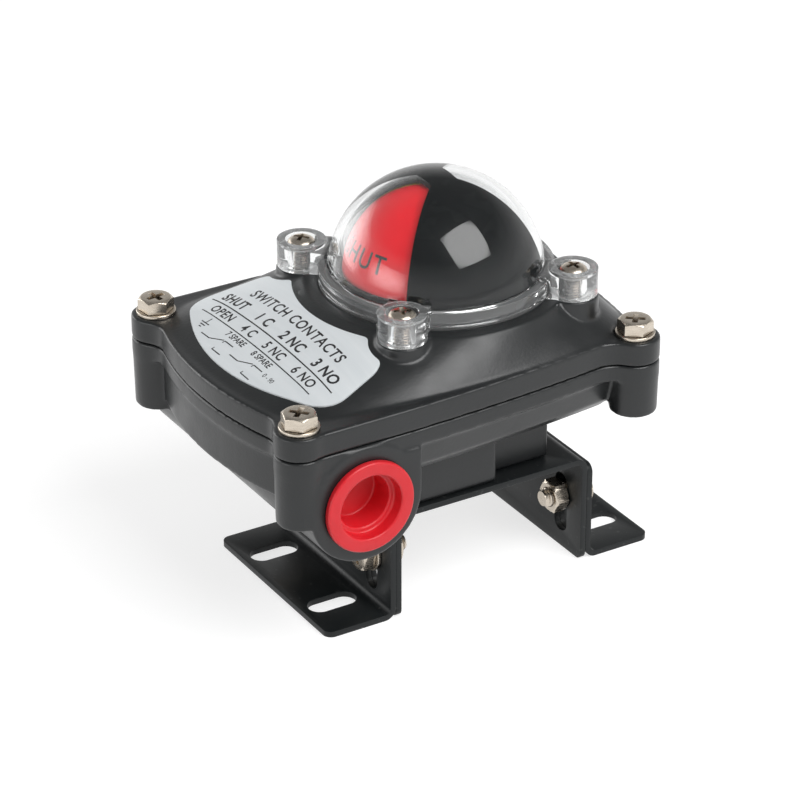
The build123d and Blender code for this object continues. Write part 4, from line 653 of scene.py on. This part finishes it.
def cut_fine(work, step):
    """Cuts flat faces into a grid, so that they can follow a curved surface."""
    low = [min(v.co[i] for v in work.verts) for i in (0, 1)]
    high = [max(v.co[i] for v in work.verts) for i in (0, 1)]
    for i in (0, 1):
        at = low[i] + step
        while at < high[i]:
            place_at = Vector((at, 0, 0)) if i == 0 else Vector((0, at, 0))
            across = Vector((1, 0, 0)) if i == 0 else Vector((0, 1, 0))
            bmesh.ops.bisect_plane(work, geom=list(work.verts) + list(work.edges) + list(work.faces),
                                   plane_co=place_at, plane_no=across, dist=1e-7)
            at += step


def words(text, size_mm, weight=0.0, spacing=1.0):
    """Lettering as a flat mesh about its own middle, in metres."""
    curve = bpy.data.curves.new("words", "FONT")
    curve.body, curve.size, curve.offset = text, size_mm * MM, weight * MM
    curve.align_x, curve.align_y, curve.space_character = "CENTER", "CENTER", spacing
    curve.resolution_u = 3
    made = bpy.data.objects.new("words", curve)
    scene.collection.objects.link(made)
    mesh = bpy.data.meshes.new_from_object(made.evaluated_get(bpy.context.evaluated_depsgraph_get()))
    bpy.data.objects.remove(made)
    work = bmesh.new()
    work.from_mesh(mesh)
    bmesh.ops.remove_doubles(work, verts=work.verts, dist=1e-7)
    return work


def strokes(lines, width_mm):
    """Straight printed strokes from (x1, y1, x2, y2) in millimetres, as a flat mesh."""
    work = bmesh.new()
    for x1, y1, x2, y2 in lines:
        start, end = Vector((x1, y1, 0)) * MM, Vector((x2, y2, 0)) * MM
        side = (end - start).normalized().cross(Vector((0, 0, 1))) * width_mm * MM / 2
        work.faces.new([work.verts.new(start + side), work.verts.new(end + side),
                        work.verts.new(end - side), work.verts.new(start - side)])
    return work


def printed(name, marks, cut_mm, onto, body):
    """Lays flat marks on a surface as a thin closed film of ink; onto maps a flat point to its place."""
    whole = bmesh.new()
    for work in marks:
        cut_fine(work, cut_mm * MM)
        for v in work.verts:
            v.co = onto(v.co.x, v.co.y)
        bmesh.ops.recalc_face_normals(work, faces=work.faces)
        part = bpy.data.meshes.new("part")
        work.to_mesh(part)
        work.free()
        whole.from_mesh(part)
    mesh = bpy.data.meshes.new(name)
    whole.to_mesh(mesh)
    whole.free()
    made = new_object(name, mesh, ink)
    modifier(made, "SOLIDIFY", thickness=INK_MM * MM, offset=0.0)
    bake(made)
    return place_piece(made, body, "black_plastic")


label = merged_copy("label_surface", "label_plate")
label_tree = BVHTree.FromObject(label, bpy.context.evaluated_depsgraph_get())
bpy.data.objects.remove(label)


def shifted(work, across_mm, along_mm):
    """Moves flat marks: across the label toward -Y, along it toward the dome."""
    bmesh.ops.translate(work, verts=work.verts, vec=Vector((across_mm, along_mm, 0)) * MM)
    return work


def on_label(u, v):
    """u runs toward -Y and v toward +X, onto the label's upper face."""
    well_above, past_the_edge = 0.2, 0.07
    hit = label_tree.ray_cast(Vector((v, -u, well_above)), Vector((0, 0, -1)))[0]
    return (hit if hit else Vector((v, -u, past_the_edge))) + Vector((0, 0, INK_MM * MM))


changeover = [(-6.5, 0, -2.5, 0), (-2.5, 0, 1.9, 1.9), (2.4, 1.9, 6.5, 1.9), (2.4, 1.9, 2.4, 1.1),
              (2.4, -1.9, 6.5, -1.9), (2.4, -1.9, 2.4, -1.1)]
earth = [(0, 2.0, 0, 0), (-1.8, 0, 1.8, 0), (-1.1, -0.8, 1.1, -0.8), (-0.5, -1.6, 0.5, -1.6)]
# Words as (text, letter size, weight, spacing), then the place across and along the label, all in mm.
printed("label_print", [
    shifted(words("SWITCH CONTACTS", 4.3, 0.07, 1.12), 0, -40.6),
    shifted(words("SHUT    1 C    2 NC    3 NO", 4.2, 0.11, 1.1), 0, -45.6),
    shifted(strokes([(-30, 0, 30, 0)], 0.35), 0, -48.1),
    shifted(words("OPEN    4 C    5 NC    6 NO", 3.7, 0.07, 1.12), 0, -50.6),
    shifted(strokes([(-27, 0, 27, 0)], 0.3), 0, -52.7),
    shifted(words("7 SPARE      8 SPARE", 2.5, 0.04), 0, -54.4),
    shifted(strokes(changeover, 0.3), -10.5, -58.4),
    shifted(strokes(changeover, 0.3), 4.5, -58.6),
    shifted(words("0 - 90", 1.9), 14.5, -57.0),
    shifted(strokes(earth, 0.3), -20.0, -55.6)], 1.5, on_label, "box")


def on_drum(turn, lift):
    """u runs round the drum and v up it, centred at an angle about the shaft."""
    ink_lift = 0.03 * MM

    def place_on(u, v):
        rise = math.radians(lift) + v / (drum_r * MM)
        round_angle = math.radians(turn) + u / (drum_r * MM * math.cos(math.radians(lift)))
        out = Vector((math.cos(rise) * math.cos(round_angle), math.cos(rise) * math.sin(round_angle),
                      math.sin(rise)))
        return dome_centre + out * (drum_r * MM + ink_lift)
    return place_on


for turn, word in ((0, "SHUT"), (180, "SHUT"), (90, "OPEN"), (270, "OPEN")):
    printed(f"drum_legend_{turn}", [words(word, size_mm=6.6, weight=0.06, spacing=1.15)], 0.8,
            on_drum(turn, lift=24.0), "shaft")


# ---------------------------------------------------------------- thread in the open conduit entry
def conduit_thread():
    """A helical ridge 1.5 mm in pitch inside the M20 entry."""
    centre_x, centre_z, face_y = -45.7 * MM, 45.1 * MM, 42.9 * MM
    pitch, turns, steps, lead_in = 1.5 * MM, 7, 72, 0.9 * MM
    root_r, crest_r, half_width = 10.05 * MM, 9.25 * MM, 0.62 * MM
    work = bmesh.new()
    rows = []
    for step in range(turns * steps + 1):
        angle = 2 * math.pi * step / steps
        y = face_y - lead_in - pitch * step / steps
        rows.append([work.verts.new((centre_x + r * math.cos(angle), y + offset,
                                     centre_z + r * math.sin(angle)))
                     for r, offset in ((root_r, half_width), (crest_r, 0.0), (root_r, -half_width))])
    for first, second in zip(rows, rows[1:]):
        for i in range(3):
            work.faces.new((first[i], first[(i + 1) % 3], second[(i + 1) % 3], second[i]))
    work.faces.new(rows[0])
    work.faces.new(rows[-1][::-1])
    bmesh.ops.recalc_face_normals(work, faces=work.faces)
    mesh = bpy.data.meshes.new("conduit_thread")
    work.to_mesh(mesh)
    work.free()
    return new_object("conduit_thread", mesh, powder_coat)


place_piece(conduit_thread(), "box", "powder_coat")


# ---------------------------------------------------------------- floor, backdrop and light
def rays(tree, *kinds):
    """1 for rays of the kinds named."""
    path = node(tree, "ShaderNodeLightPath").outputs
    found = path[kinds[0]]
    for kind in kinds[1:]:
        found = node(tree, "ShaderNodeMath", {0: found, 1: path[kind]}, operation="MAXIMUM").outputs[0]
    return found


floor_finish = bpy.data.materials.new("white_paper_sweep")
floor_finish.use_nodes = True
tree = floor_finish.node_tree
tree.nodes.clear()
paper = node(tree, "ShaderNodeBsdfDiffuse", {"Color": (0.7, 0.7, 0.7, 1.0)})
shaded = node(tree, "ShaderNodeBsdfDiffuse", {"Color": (0.45, 0.45, 0.45, 1.0)})
bright = node(tree, "ShaderNodeEmission", {"Color": (1, 1, 1, 1), "Strength": 0.70})
shown = node(tree, "ShaderNodeAddShader", {0: shaded.outputs[0], 1: bright.outputs[0]})
paper_shown = node(tree, "ShaderNodeMixShader",
                   {0: rays(tree, "Is Camera Ray", "Is Glossy Ray", "Is Transmission Ray"),
                    1: paper.outputs[0], 2: shown.outputs[0]})
node(tree, "ShaderNodeOutputMaterial", {"Surface": paper_shown.outputs[0]})
floor_mesh = bpy.data.meshes.new("floor")
reach = 4.0
floor_mesh.from_pydata([(-reach, -reach, 0), (reach, -reach, 0), (reach, reach, 0), (-reach, reach, 0)], [],
                       [(0, 1, 2, 3)])
floor = new_object("floor", floor_mesh, floor_finish)

world = bpy.data.worlds.new("studio")
scene.world = world
world.use_nodes = True
tree = world.node_tree
tree.nodes.clear()
lighting = node(tree, "ShaderNodeBackground", {"Color": (1, 1, 1, 1), "Strength": 0.36})
height = node(tree, "ShaderNodeSeparateXYZ", {0: node(tree, "ShaderNodeTexCoord").outputs["Generated"]})
fade = node(tree, "ShaderNodeMapRange",
            {"Value": height.outputs[2], "From Min": 0.12, "From Max": 0.6,
             "To Min": 1.0, "To Max": 0.25})
mirrored = node(tree, "ShaderNodeBackground", {"Color": (1, 1, 1, 1), "Strength": fade.outputs[0]})
white = node(tree, "ShaderNodeBackground", {"Color": (1, 1, 1, 1), "Strength": 1.0})
sky = node(tree, "ShaderNodeMixShader", {0: rays(tree, "Is Glossy Ray", "Is Transmission Ray"),
                                         1: lighting.outputs[0], 2: mirrored.outputs[0]})
sky_shown = node(tree, "ShaderNodeMixShader", {0: rays(tree, "Is Camera Ray"), 1: sky.outputs[0],
                                               2: white.outputs[0]})
node(tree, "ShaderNodeOutputWorld", {"Surface": sky_shown.outputs[0]})


def softbox(name, direction, distance, width, height, power, core):
    """A rectangular lamp aimed at the object; core is where its cloth starts to darken toward the rim."""
    lamp = bpy.data.lights.new(name, "AREA")
    lamp.shape, lamp.size, lamp.size_y, lamp.energy = "RECTANGLE", width, height, power
    lamp.use_nodes = True
    tree = lamp.node_tree
    tree.nodes.clear()
    spot = node(tree, "ShaderNodeNewGeometry").outputs["Parametric"]
    off_centre = node(tree, "ShaderNodeVectorMath", {0: spot, 1: (0.5, 0.5, 0.0)}, operation="DISTANCE")
    cloth = node(tree, "ShaderNodeMapRange",
                 {"Value": off_centre.outputs["Value"], "From Min": core, "From Max": 0.72,
                  "To Min": 1.0, "To Max": 0.0})
    glow = node(tree, "ShaderNodeEmission", {"Strength": cloth.outputs[0]})
    node(tree, "ShaderNodeOutputLight", {"Surface": glow.outputs[0]})
    made = bpy.data.objects.new(name, lamp)
    scene.collection.objects.link(made)
    object_middle = Vector((0, 0, 0.06))
    made.location = object_middle + direction.normalized() * distance
    made.rotation_euler = direction.to_track_quat("Z", "Y").to_euler()


softbox("front_softbox", view_right * 0.49 + view_up * 0.45 + view_back * 0.748,
        distance=0.9, width=0.66, height=0.62, power=8.0, core=0.5)
softbox("left_softbox", Vector((-0.50, 0.85, 0.14)),
        distance=1.2, width=1.1, height=0.9, power=12.0, core=0.0)
softbox("end_softbox", Vector((-0.95, -0.05, 0.17)),
        distance=1.3, width=1.0, height=0.5, power=4.2, core=0.2)
